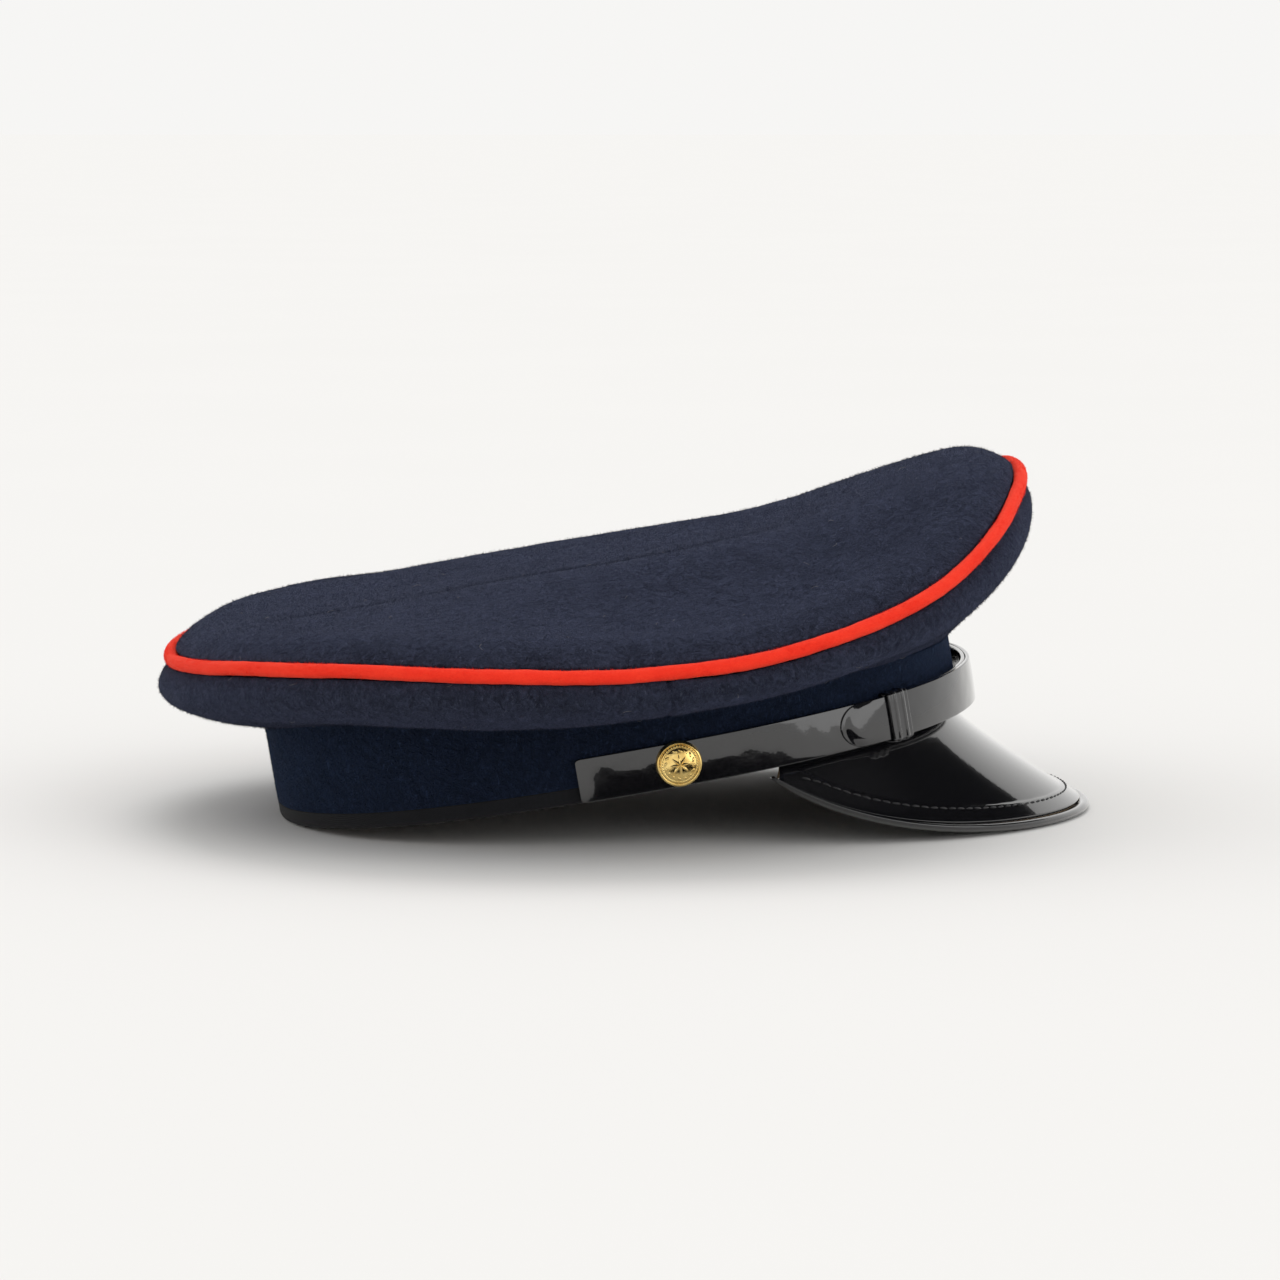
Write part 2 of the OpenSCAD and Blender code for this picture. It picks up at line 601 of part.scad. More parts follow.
crown_top_panel();
quarter_front_right();
quarter_front_left();
quarter_rear_right();
quarter_rear_left();
crown_piping();
crown_wire();
crown_wire_ferrule();
crown_padding();
front_stay();
tip_lining();
side_lining();
sweat_shield();
band_cloth();
band_stiffener();
band_welt();
sweatband();
sweatband_reed();
sweatband_bow();
forehead_pad();
peak_board();
peak_patent();
peak_lining();
peak_binding();
strap_right();
strap_left();
keeper_right();
keeper_left();
button_dome_right();
button_dome_left();
button_back_right();
button_back_left();
button_shank_right();
button_shank_left();
split_ring_right();
split_ring_left();
badge_plate();
badge_rim();
badge_star();
badge_ball();
badge_lugs();
badge_pin();
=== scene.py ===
import math

import bmesh
import bpy
import numpy as np
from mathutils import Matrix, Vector


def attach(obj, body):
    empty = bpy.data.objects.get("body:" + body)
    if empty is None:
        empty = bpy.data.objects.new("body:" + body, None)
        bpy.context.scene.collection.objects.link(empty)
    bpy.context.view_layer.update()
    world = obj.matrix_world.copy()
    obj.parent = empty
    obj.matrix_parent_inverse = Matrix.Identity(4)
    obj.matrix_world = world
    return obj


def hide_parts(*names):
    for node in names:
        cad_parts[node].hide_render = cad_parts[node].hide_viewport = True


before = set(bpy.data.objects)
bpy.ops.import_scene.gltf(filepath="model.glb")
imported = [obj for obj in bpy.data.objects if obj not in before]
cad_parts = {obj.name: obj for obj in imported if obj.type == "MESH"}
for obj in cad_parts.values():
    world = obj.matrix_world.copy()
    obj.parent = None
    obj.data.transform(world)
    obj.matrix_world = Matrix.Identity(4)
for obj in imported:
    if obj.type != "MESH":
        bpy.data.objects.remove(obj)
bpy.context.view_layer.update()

# ---------------------------------------------------------------- driving sizes, in millimetres
# The cap's own frame has x forward, y to the wearer's left and z up from the lower edge of the band.
MM = 0.001
BAND_FRONT, BAND_SIDE, BAND_POWER = 106.5, 87.5, 2.3
BAND_HEIGHT, BAND_TILT, BAND_REAR_LIFT = 24.0, 2.7, 18.0
WELT_HEIGHT, WELT_ROUND = 4.8, 1.0
CLOTH_IN, STIFFENER_IN, LINING_IN, SWEATBAND_OUT, SWEATBAND_IN = 1.6, 2.9, 4.2, 4.8, 5.8
SWEATBAND_HEIGHT = 36.0
CROWN_FRONT, CROWN_REAR, CROWN_SIDE, CROWN_POWER = 136.0, 131.0, 120.3, 2.19
PIPING_SIDE_Z, PIPING_RADIUS, CLOTH = 39.0, 2.1, 2.0
CROWN_HEIGHT, RIDGE_OFFSET, PUFF_WIDTH = 61.6, 46.0, 16.0
PEAK_CORNER_X, PEAK_REACH, PEAK_SIDE = 37.0, 104.0, 84.0
PATENT, BOARD, UNDERSIDE = 0.8, 1.6, 0.6
BEAD_RADIUS = 1.7
STRAP_LOW, STRAP_HIGH, STRAP_THICK = 0.1, 13.3, 1.2
STRAP_GAP, STRAP_STAND_OFF = 0.4, 2.5
STRAP_REAR, TONGUE, HIDDEN_TIP, KEEPER = 101.5, 52.0, 54.0, 40.5
KEEPER_LENGTH, KEEPER_WALL, KEEPER_CLEARANCE = 8.0, 0.7, 0.5
BUTTON_X, BUTTON_Z, BUTTON_RADIUS, BUTTON_FACE = 12.0, 7.0, 6.85, 90.0
BADGE_WIDTH, BADGE_HEIGHT, BADGE_PLACE = 28.0, 30.8, 0.34
PITCH = math.radians(9.5)
REST_SHIFT = -2.9
REST_HEEL = BAND_FRONT - WELT_ROUND
STRAP_MIDDLE = (STRAP_LOW + STRAP_HIGH) / 2
STRAP_HALF = (STRAP_HIGH - STRAP_LOW) / 2


# ---------------------------------------------------------------- shape of the cap
def stand(points):
    """Points of the cap's own frame, in millimetres, as the cap stands at rest, in metres."""
    x, y, z = np.moveaxis(np.asarray(points, float), -1, 0)
    c, s = math.cos(PITCH), math.sin(PITCH)
    return np.stack([REST_SHIFT + x * c - z * s, y, x * s + z * c + REST_HEEL * s], -1) * MM


def oval(phi, front, rear, side, power):
    length = np.where(np.cos(phi) >= 0, front, rear)
    return ((np.abs(np.cos(phi)) / length) ** power + (np.abs(np.sin(phi)) / side) ** power) ** (-1 / power)


def around(phi, front, side, rear):
    forward = np.clip(np.cos(phi), 0, 1) ** 2
    back = np.clip(-np.cos(phi), 0, 1) ** 2
    return side + (front - side) * forward + (rear - side) * back


def smooth(value):
    t = np.clip(value, 0, 1)
    return t * t * (3 - 2 * t)


def unit(vectors):
    return vectors / np.linalg.norm(vectors, axis=-1, keepdims=True)


def polar(phi, r, z):
    phi, r, z = np.broadcast_arrays(phi, r, z)
    return np.stack([r * np.cos(phi), r * np.sin(phi), z], -1)


def bezier(p, t):
    return (1 - t) ** 3 * p[0] + 3 * t * (1 - t) ** 2 * p[1] + 3 * t * t * (1 - t) * p[2] + t ** 3 * p[3]


def bezier_slope(p, t):
    return 3 * (1 - t) ** 2 * (p[1] - p[0]) + 6 * t * (1 - t) * (p[2] - p[1]) + 3 * t * t * (p[3] - p[2])


def band_r(phi):
    return oval(phi, BAND_FRONT, BAND_FRONT, BAND_SIDE, BAND_POWER)


def seam_z(phi):
    x = band_r(phi) * np.cos(phi) / BAND_FRONT
    return BAND_HEIGHT - BAND_TILT * x + np.where(x < 0, BAND_REAR_LIFT * x * x * (1.14 - x * x), 0)


def pipe_r(phi):
    return oval(phi, CROWN_FRONT, CROWN_REAR, CROWN_SIDE, CROWN_POWER)


def pipe_z(phi):
    x = pipe_r(phi) * np.cos(phi) / np.where(np.cos(phi) >= 0, CROWN_FRONT, CROWN_REAR)
    return PIPING_SIDE_Z - 16.5 * x + 22.3 * x * x + 23.3 * x ** 3 - 2.2 * np.exp(-((x - 0.76) / 0.2) ** 2)


def quarter_rz(phi, t, depth):
    """Radius and height of the quarters at a depth below their outer face, from the band at t = 0 up."""
    low = np.stack([band_r(phi), seam_z(phi)])
    high = np.stack([pipe_r(phi) + 0.3, pipe_z(phi) - 2.3])
    p = [low, low + np.stack([around(phi, 14.3, 22, 21), around(phi, 13.5, -2, 7)]),
         high + np.stack([around(phi, 8.5, 9.5, 13), -around(phi, 13.5, 10, 10.5)]), high]
    tangent = bezier_slope(p, t)
    tangent = tangent / np.linalg.norm(tangent, axis=0)
    return bezier(p, t) + depth * np.stack([-tangent[1], tangent[0]])


def crown_middle_z(x):
    c = x / 134
    return CROWN_HEIGHT + 3 * c + 6.5 * c * c + 2.5 * c ** 3 + 1.7 * np.exp(-((c + 0.3) / 0.28) ** 2)


def crown_z(phi, inset):
    """Height of the top panel's upper face at a distance inside the piping's middle line."""
    r = pipe_r(phi) - inset
    share = r / pipe_r(phi)
    x, y = r * np.cos(phi), r * np.sin(phi)
    edge, puff = pipe_z(phi), around(phi, 7.5, 10, 7.7)
    swell = 1 - np.clip((PUFF_WIDTH - inset) / PUFF_WIDTH, 0, 1) ** 2.4
    level = smooth((0.88 - share) / 0.52)
    fade = np.clip((0.97 - share) / 0.2, 0, 1)
    ridge = 1.6 * np.exp(-((np.abs(y) - RIDGE_OFFSET) / 17) ** 2) * np.clip(1 - (x / 150) ** 4, 0, 1)
    dip = 2.2 * np.exp(-(y / 30) ** 2) * np.clip(1 - (x / 118) ** 4, 0, 1)
    slump = 1.2 * (2 * np.sin(phi) * np.clip(-np.cos(phi), 0, 1)) ** 2
    return (edge + puff * swell + (crown_middle_z(x) - edge - puff) * level + (ridge - dip) * fade
            - slump * swell * np.clip((share - 0.2) / 0.5, 0, 1))


def rim_point(w):
    x = PEAK_CORNER_X + PEAK_REACH * np.cos(w)
    rest = 2.48 + 20.2 * (np.abs(w) / (math.pi / 2)) ** 5.6
    z = (rest - (REST_HEEL + x) * math.sin(PITCH)) / math.cos(PITCH)
    return np.stack([x, PEAK_SIDE * np.sin(w), z], -1)


def peak_point(w, t):
    """The peak's outer face from its root inside the band, at t = 0, to its rim, at t = 1."""
    w, t = np.broadcast_arrays(w, t)
    phi, lean, t = w * 64 / 90, np.cos(w), t[..., None]
    root = polar(phi, band_r(phi) - STIFFENER_IN, -0.15)
    rim = rim_point(w)
    p = [root, root + polar(w * 0.7, 2.5, -7.5 * lean - 1),
         rim + polar(w * 0.8, -9 * lean, 8 * lean + 0.5), rim]
    return bezier(p, t)


def peak_normal(w, t):
    w, t = np.broadcast_arrays(w, t)
    limit, degree = math.pi / 2, math.radians(1)
    along = peak_point(w, np.minimum(t + 0.02, 1)) - peak_point(w, np.maximum(t - 0.02, 0))
    across = peak_point(np.minimum(w + degree, limit), t) - peak_point(np.maximum(w - degree, -limit), t)
    return unit(-np.cross(across, along))


def peak_at(w, t, depth):
    depth = np.broadcast_to(depth, np.broadcast(w, t).shape)[..., None]
    return peak_point(w, t) - depth * peak_normal(w, t)


def strap_out(phi):
    return STRAP_GAP + around(phi, STRAP_STAND_OFF, 0, 0)


def drift(points, low, high, seed, count=18):
    """Smooth unevenness over points, in waves between two lengths, mostly within -1 and 1."""
    rng = np.random.default_rng(seed)
    points, total = np.asarray(points, float), 0.0
    for _ in range(count):
        way = rng.normal(size=3)
        turns = points @ (way / np.linalg.norm(way)) / rng.uniform(low, high)
        total = total + np.sin(2 * math.pi * (turns + rng.random()))
    return total / math.sqrt(count)


# ---------------------------------------------------------------- mesh makers
def placed(name, data):
    """A new object in the scene."""
    made = bpy.data.objects.new(name, data)
    bpy.context.scene.collection.objects.link(made)
    return made


def make(name, points, faces, material, body="cap", replaces=(), slot=None, world=False, flat=False):
    """A mesh piece in its place, with its material, that rides on a body and stands for CAD nodes."""
    mesh = bpy.data.meshes.new(name)
    co = np.asarray(points, float)
    mesh.from_pydata((co if world else stand(co)).tolist(), [], [list(map(int, f)) for f in faces])
    tidy = bmesh.new()
    tidy.from_mesh(mesh)
    bmesh.ops.recalc_face_normals(tidy, faces=tidy.faces)
    tidy.to_mesh(mesh)
    tidy.free()
    piece = placed(name, mesh)
    mesh.materials.append(material)
    if not flat:
        mesh.polygons.foreach_set("use_smooth", [True] * len(mesh.polygons))
    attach(piece, body)
    if replaces:
        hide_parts(*replaces)
    return piece


def grid_faces(rows, cols, wrap_rows=False, wrap_cols=False, first=0):
    """Quads between the points of a grid that is stored row by row."""
    i = np.arange(rows if wrap_rows else rows - 1)[:, None]
    j = np.arange(cols if wrap_cols else cols - 1)[None, :]
    i2, j2 = (i + 1) % rows, (j + 1) % cols
    quads = np.stack(np.broadcast_arrays(i * cols + j, i * cols + j2, i2 * cols + j2, i2 * cols + j), -1)
    return (quads.reshape(-1, 4) + first).tolist()


def sections(grid, closed):
    """Closed solid through rows of points, each row a closed outline. Open ends are closed by a face."""
    rows, cols = grid.shape[:2]
    faces = grid_faces(rows, cols, closed, True)
    if not closed:
        faces += [list(range(cols))[::-1], [(rows - 1) * cols + j for j in range(cols)]]
    return grid.reshape(-1, 3), faces


def disc(start, rings, end):
    """Closed solid of rings between two single points."""
    count, size = rings.shape[:2]
    points = np.concatenate([[start], rings.reshape(-1, 3), [end]])
    tip, last = len(points) - 1, 1 + (count - 1) * size
    faces = grid_faces(count, size, False, True, 1)
    faces += [[0, 1 + (j + 1) % size, 1 + j] for j in range(size)]
    faces += [[tip, last + j, last + (j + 1) % size] for j in range(size)]
    return points, faces


def merged(parts):
    """Several lists of points and faces as one."""
    points, faces, first = [], [], 0
    for p, f in parts:
        points.append(np.asarray(p, float))
        faces += [[first + k for k in face] for face in f]
        first += len(p)
    return np.concatenate(points), faces


def tube(path, radius, sides=12, closed=False, up=(0, 0, 1), ripple=None):
    """Round cord along a line of points."""
    path = np.asarray(path, float)
    along = unit(np.roll(path, -1, 0) - np.roll(path, 1, 0) if closed else np.gradient(path, axis=0))
    side = unit(np.cross(along, up))
    over = np.cross(side, along)
    turn = np.linspace(0, 2 * math.pi, sides, endpoint=False)
    radius = np.broadcast_to(radius, (len(path),))[:, None, None]
    if ripple is not None:
        radius = radius + ripple[..., None]
    ring = np.cos(turn)[None, :, None] * side[:, None] + np.sin(turn)[None, :, None] * over[:, None]
    return sections(path[:, None] + radius * ring, closed)


def capsule(start, end, radius, sag, steps=6, sides=6):
    """Short thread between two points, thin at both ends, that rises by sag in its middle."""
    start, end, sag = np.asarray(start), np.asarray(end), np.asarray(sag)
    s = np.linspace(0, 1, steps)[:, None]
    path = start + (end - start) * s + sag * np.sin(math.pi * s)
    return tube(path, radius * np.clip(np.sin(math.pi * (0.06 + 0.88 * s[:, 0])), 0.25, 1) ** 0.5, sides)


def spikes(points, normals, length, width, lean, seed):
    """Short fibres that stand out of a surface: thin closed spikes, leaning in random directions."""
    rng = np.random.default_rng(seed)
    n = len(points)
    axis = unit(normals + lean * unit(rng.normal(size=(n, 3))))
    side = unit(np.cross(axis, rng.normal(size=(n, 3))))
    other = np.cross(axis, side)
    reach = length * rng.uniform(0.35, 1, (n, 1))
    foot = points - normals * width
    tip = foot + axis * reach
    corners = [foot + width * (math.cos(a) * side + math.sin(a) * other) for a in np.radians([0, 120, 240])]
    co = np.stack([*corners, tip], 1).reshape(-1, 3)
    base = np.arange(n)[:, None] * 4
    faces = np.concatenate([base + np.array(f) for f in ([0, 2, 1], [0, 1, 3], [1, 2, 3], [2, 0, 3])])
    return co, faces.tolist()


def scatter(grid, count, seed):
    """Random points on a grid of points, with the surface's normals, evenly by area."""
    rng = np.random.default_rng(seed)
    a, b, c, d = grid[:-1, :-1], grid[:-1, 1:], grid[1:, 1:], grid[1:, :-1]
    normal = np.cross(c - a, d - b)
    area = np.linalg.norm(normal, axis=-1)
    pick = rng.choice(area.size, count, p=(area / area.sum()).ravel())
    u, v = rng.random((2, count, 1))
    q = [m.reshape(-1, 3)[pick] for m in (a, b, c, d)]
    points = (1 - u) * ((1 - v) * q[0] + v * q[1]) + u * ((1 - v) * q[3] + v * q[2])
    return points, unit(normal.reshape(-1, 3)[pick])


# ---------------------------------------------------------------- materials
class Surface:
    """A node material under construction, with short calls for the nodes that it uses."""

    def __init__(self, name, **sockets):
        self.material = bpy.data.materials.new(name)
        self.material.use_nodes = True
        self.tree = self.material.node_tree
        self.shader = self.tree.nodes["Principled BSDF"]
        self.place = self.tree.nodes.new("ShaderNodeTexCoord").outputs["Object"]
        for key, value in sockets.items():
            self.shader.inputs[key.replace("_", " ")].default_value = value

    def node(self, kind, inputs=(), **settings):
        made = self.tree.nodes.new("ShaderNode" + kind)
        for key, value in settings.items():
            setattr(made, key, value)
        for key, value in dict(inputs).items():
            if isinstance(value, bpy.types.NodeSocket):
                self.tree.links.new(value, made.inputs[key])
            else:
                made.inputs[key].default_value = value
        return made

    def stretched(self, scale, rotation=(0, 0, 0)):
        return self.node("Mapping", {"Vector": self.place, "Scale": scale, "Rotation": rotation}).outputs[0]

    def noise(self, scale, detail=3.0, roughness=0.55, distortion=0.0, place=None):
        return self.node("TexNoise", {"Vector": place or self.place, "Scale": scale, "Detail": detail,
                                      "Roughness": roughness, "Distortion": distortion}).outputs["Fac"]

    def cells(self, scale, feature="F1", place=None):
        return self.node("TexVoronoi", {"Vector": place or self.place, "Scale": scale},
                         feature=feature).outputs["Distance"]

    def ramp(self, value, stops):
        made = self.node("ValToRGB", {"Fac": value})
        points = made.color_ramp.elements
        while len(points) < len(stops):
            points.new(0.5)
        for point, (where, colour) in zip(points, stops):
            point.position = where
            point.color = (*colour, 1) if len(colour) == 3 else colour
        return made.outputs["Color"]

    def levels(self, value, low, high, to_low=0.0, to_high=1.0):
        return self.node("MapRange", {"Value": value, "From Min": low, "From Max": high,
                                      "To Min": to_low, "To Max": to_high}).outputs["Result"]

    def maths(self, operation, a, b=0.0):
        return self.node("Math", {0: a, 1: b}, operation=operation).outputs[0]

    def blend(self, share, a, b, blend_type="MIX"):
        made = self.node("Mix", data_type="RGBA", blend_type=blend_type)
        for socket, value in ((made.inputs[0], share), (made.inputs[6], a), (made.inputs[7], b)):
            if isinstance(value, bpy.types.NodeSocket):
                self.tree.links.new(value, socket)
            else:
                socket.default_value = value if isinstance(value, (int, float)) else (*value, 1)[:4]
        return made.outputs[2]

    def bump(self, height, distance, strength=1.0, under=None):
        inputs = {"Height": height, "Distance": distance, "Strength": strength}
        if under is not None:
            inputs["Normal"] = under
        return self.node("Bump", inputs).outputs["Normal"]

    def finish(self, **links):
        for key, value in links.items():
            self.tree.links.new(value, self.shader.inputs[key.replace("_", " ")])
        return self.material


def wool(name, deep, light, fleck, sheen, sheen_tint, scale=1.0):
    """Milled wool: a felted nap with fine fibres, soft clouds of tone and a few paler fibres."""
    s = Surface(name, Sheen_Weight=sheen, Sheen_Roughness=0.5, Sheen_Tint=(*sheen_tint, 1),
                Specular_IOR_Level=0.1, Roughness=0.95)
    fibres = s.noise(1250 * scale, 5, 0.72, 2.0)
    clouds = s.noise(55 * scale, 4, 0.62, 0.8)
    felt = s.noise(230 * scale, 5, 0.7, 2.0)
    tone = s.maths("MULTIPLY", s.levels(fibres, 0.38, 0.64, 0.1, 1.0),
                   s.levels(clouds, 0.25, 0.75, 0.5, 1.1))
    tone = s.maths("MULTIPLY", tone, s.levels(felt, 0.36, 0.64, 0.35, 1.5))
    base = s.ramp(tone, [(0.0, deep), (0.75, light)])
    stray = s.noise(420 * scale, 3, 0.6, 7.0, s.stretched((1, 1, 0.3), (0.4, 0.7, 0.2)))
    colour = s.blend(s.levels(stray, 0.58, 0.68, 0, 0.7), base, fleck)
    normal = s.bump(felt, 0.0024, 0.85, s.bump(fibres, 0.0014, 1.0))
    return s.finish(Base_Color=colour, Normal=normal)


def felt_cord(name):
    """Scarlet felt: a painted highlight makes it brighter where its fibres stand up, with a fine nap."""
    s = Surface(name, Sheen_Weight=0.25, Sheen_Roughness=0.5, Sheen_Tint=(1.0, 0.35, 0.25, 1),
                Specular_IOR_Level=0.1, Roughness=0.9)
    fibres = s.noise(1300, 5, 0.6, 2.5)
    clouds = s.noise(160, 3)
    # Painted highlight: the colour brightens with the fibres' height, which the bump also follows
    tone = s.maths("MULTIPLY", s.levels(fibres, 0.2, 0.8, 0.45, 1.0), s.levels(clouds, 0.2, 0.8, 0.75, 1.05))
    colour = s.ramp(tone, [(0.1, (0.55, 0.01, 0.005)), (0.5, (0.86, 0.026, 0.012)),
                           (0.9, (0.97, 0.055, 0.024))])
    return s.finish(Base_Color=colour, Normal=s.bump(fibres, 0.0003, 0.8, s.bump(clouds, 0.0006, 0.4)))


def patent(name):
    """Patent leather: black under a clear gloss, a little uneven, with the faintest dust and scuffs."""
    s = Surface(name, Coat_Weight=1.0, Coat_Roughness=0.022, Coat_IOR=1.55, Specular_IOR_Level=0.45)
    swell = s.noise(30, 2, 0.45)
    peel = s.noise(420, 3, 0.5)
    scuff = s.noise(900, 4, 0.65, 2.0, s.stretched((1, 3.5, 1), (0.3, 0.5, 0.8)))
    grain = s.cells(1100)
    colour = s.ramp(s.levels(scuff, 0.35, 0.8),
                    [(0.2, (0.0035, 0.0035, 0.0045)), (0.9, (0.011, 0.011, 0.013))])
    rough = s.levels(scuff, 0.3, 0.8, 0.08, 0.2)
    normal = s.bump(swell, 0.0006, 0.10, s.bump(peel, 0.00003, 0.25, s.bump(grain, 0.00001, 0.25)))
    return s.finish(Base_Color=colour, Roughness=rough, Normal=normal, Coat_Normal=normal)


def gilt(name, rough=(0.1, 0.26), base=((0.74, 0.46, 0.12), (1.0, 0.74, 0.28))):
    """Polished gilt brass, with faint handling marks and tone that deepens in the cells of the metal."""
    s = Surface(name, Metallic=1.0)
    marks = s.noise(700, 4, 0.6, 1.0, s.stretched((1, 1, 4), (0.2, 0.4, 0.1)))
    tone = s.noise(260, 3)
    colour = s.ramp(tone, [(0.25, base[0]), (0.6, base[1])])
    return s.finish(Base_Color=colour, Roughness=s.levels(marks, 0.3, 0.75, *rough),
                    Normal=s.bump(marks, 0.00003, 0.35))


def steel(name):
    s = Surface(name, Metallic=1.0)
    drawn = s.noise(900, 3, 0.6, 0.0, s.stretched((1, 1, 9)))
    colour = s.ramp(drawn, [(0.2, (0.36, 0.36, 0.38)), (0.8, (0.62, 0.62, 0.64))])
    return s.finish(Base_Color=colour, Roughness=s.levels(drawn, 0.2, 0.8, 0.24, 0.42),
                    Normal=s.bump(drawn, 0.00004, 0.4))


def leather(name, deep, light, gloss=(0.38, 0.55), pores=900):
    """Smooth leather with fine pores, creases and a slow drift of tone."""
    s = Surface(name, Specular_IOR_Level=0.4)
    cells, creases, clouds = s.cells(pores), s.noise(240, 5, 0.6, 1.2), s.noise(35, 3)
    tone = s.maths("ADD", s.maths("MULTIPLY", creases, 0.6), s.maths("MULTIPLY", clouds, 0.5))
    colour = s.ramp(tone, [(0.3, deep), (0.75, light)])
    normal = s.bump(cells, 0.00012, 0.5, s.bump(creases, 0.0003, 0.35))
    return s.finish(Base_Color=colour, Roughness=s.levels(creases, 0.2, 0.8, *gloss), Normal=normal)


def woven(name, deep, light, pitch, roughness, sheen=0.0, weave=(1, 1)):
    """Cloth with a visible weave of warp and weft."""
    s = Surface(name, Sheen_Weight=sheen, Roughness=roughness, Specular_IOR_Level=0.25)
    cross = s.maths("MULTIPLY", *[
        s.node("TexWave", {"Vector": place, "Scale": share / pitch, "Distortion": 0.6, "Detail Scale": 2.0},
               bands_direction="DIAGONAL").outputs["Fac"]
        for place, share in zip((s.place, s.stretched((1, -1, 1))), weave)])
    slub = s.noise(180, 4, 0.6)
    tone = s.maths("ADD", s.maths("MULTIPLY", cross, 0.6), s.maths("MULTIPLY", slub, 0.5))
    colour = s.ramp(tone, [(0.15, deep), (0.8, light)])
    return s.finish(Base_Color=colour, Normal=s.bump(cross, pitch * 0.25, 0.6, s.bump(slub, 0.0004, 0.3)))


def board(name):
    s = Surface(name, Roughness=0.85)
    fibre = s.noise(500, 5, 0.65, 1.5)
    return s.finish(Base_Color=s.ramp(fibre, [(0.2, (0.1, 0.065, 0.035)), (0.8, (0.24, 0.17, 0.1))]),
                    Normal=s.bump(fibre, 0.0002, 0.5))


def foam(name, deep, light):
    s = Surface(name, Roughness=0.95, Specular_IOR_Level=0.1)
    cells = s.cells(1400)
    return s.finish(Base_Color=s.ramp(cells, [(0.05, deep), (0.6, light)]),
                    Normal=s.bump(cells, 0.0004, 0.7))


def clear_sheet(name):
    s = Surface(name, Transmission_Weight=1.0, IOR=1.46, Base_Color=(0.93, 0.95, 0.96, 1))
    return s.finish(Roughness=s.levels(s.noise(300, 4), 0.3, 0.8, 0.03, 0.1),
                    Normal=s.bump(s.noise(60, 3), 0.0004, 0.3))


# ---------------------------------------------------------------- the finishes
NAVY_FLECK, BLUE_FLECK, LINT = (0.10, 0.115, 0.17), (0.05, 0.08, 0.16), (0.42, 0.42, 0.44)
NAVY_SHEEN, BLUE_SHEEN = (0.4, 0.5, 0.9), (0.25, 0.45, 1.0)
CROWN = wool("crown_melton", (0.0024, 0.0028, 0.0046), (0.044, 0.051, 0.085), NAVY_FLECK, 0.24,
             (0.4, 0.48, 0.9))
CROWN_NAP = wool("crown_nap", (0.016, 0.018, 0.027), (0.06, 0.069, 0.112), NAVY_FLECK, 0.2, NAVY_SHEEN)
BAND_NAP = wool("band_nap", (0.004, 0.006, 0.014), (0.022, 0.034, 0.07), BLUE_FLECK, 0.2, BLUE_SHEEN)
BAND = wool("band_melton", (0.0012, 0.0019, 0.0044), (0.0115, 0.017, 0.038), BLUE_FLECK, 0.22, BLUE_SHEEN)
LINT_FIBRE = wool("lint_fibre", (0.16, 0.16, 0.17), LINT, LINT, 0.1, (1, 1, 1))
SCARLET = felt_cord("scarlet_felt")
GLOSS = patent("patent_leather")
GILT = gilt("gilt_brass")
BRASS = gilt("ferrule_brass", (0.25, 0.45), ((0.4, 0.28, 0.1), (0.66, 0.5, 0.22)))
STEEL = steel("drawn_steel")
SWEAT = leather("sweat_leather", (0.07, 0.028, 0.011), (0.19, 0.088, 0.038))
PEAK_LEATHER = leather("peak_underside", (0.006, 0.012, 0.009), (0.02, 0.034, 0.026), (0.5, 0.7), 700)
SATIN = woven("lining_satin", (0.004, 0.004, 0.005), (0.03, 0.03, 0.034), 0.0005, 0.32, 0.2, (1, 0.35))
BUCKRAM = woven("buckram", (0.28, 0.25, 0.18), (0.55, 0.5, 0.4), 0.0012, 0.8)
TAPE = woven("welt_tape", (0.0016, 0.0018, 0.0028), (0.0085, 0.009, 0.013), 0.0008, 0.8, 0.06)
RIBBON = woven("bow_ribbon", (0.005, 0.005, 0.006), (0.035, 0.035, 0.04), 0.0006, 0.4, 0.2)
THREAD = woven("black_thread", (0.004, 0.004, 0.005), (0.05, 0.05, 0.055), 0.0003, 0.45, 0.2)
WADDING = foam("wadding", (0.42, 0.41, 0.37), (0.7, 0.69, 0.64))
FOAM = foam("pad_foam", (0.02, 0.02, 0.02), (0.09, 0.09, 0.09))
STAY = board("stay_plastic")
FIBRE = board("fibre_board")
CLEAR = clear_sheet("clear_vinyl")


# ---------------------------------------------------------------- the crown
TURN = np.linspace(-math.pi, math.pi, 540, endpoint=False)
LONG_TURN = np.linspace(-math.pi, math.pi, 900, endpoint=False)


def top_wave(points, inset):
    """The cloth's unevenness: slow swells, and small puckers where it is gathered to the piping."""
    phi = np.arctan2(points[..., 1], points[..., 0])
    slow = 0.14 * drift(points * (1, 1, 0), 30, 90, 3) + 0.06 * drift(points * (1, 1, 0), 7, 16, 4)
    share = 0.5 + 0.5 * np.sin(3 * phi + 1) * np.sin(8 * phi) + 0.3 * np.sin(19 * phi)
    gather = np.sin(104 * phi + 2.2 * np.sin(7 * phi) + 1.4 * np.sin(17 * phi))
    near_edge = np.exp(-np.clip(inset - 2, 0, None) / 3.4)
    return slow * np.clip(inset / 12, 0.25, 1) + 0.2 * share * gather * near_edge


def crown_face(inset, fall):
    points = polar(TURN, pipe_r(TURN) - inset, crown_z(TURN, inset) - fall)
    points[..., 2] += top_wave(points, inset)
    return points


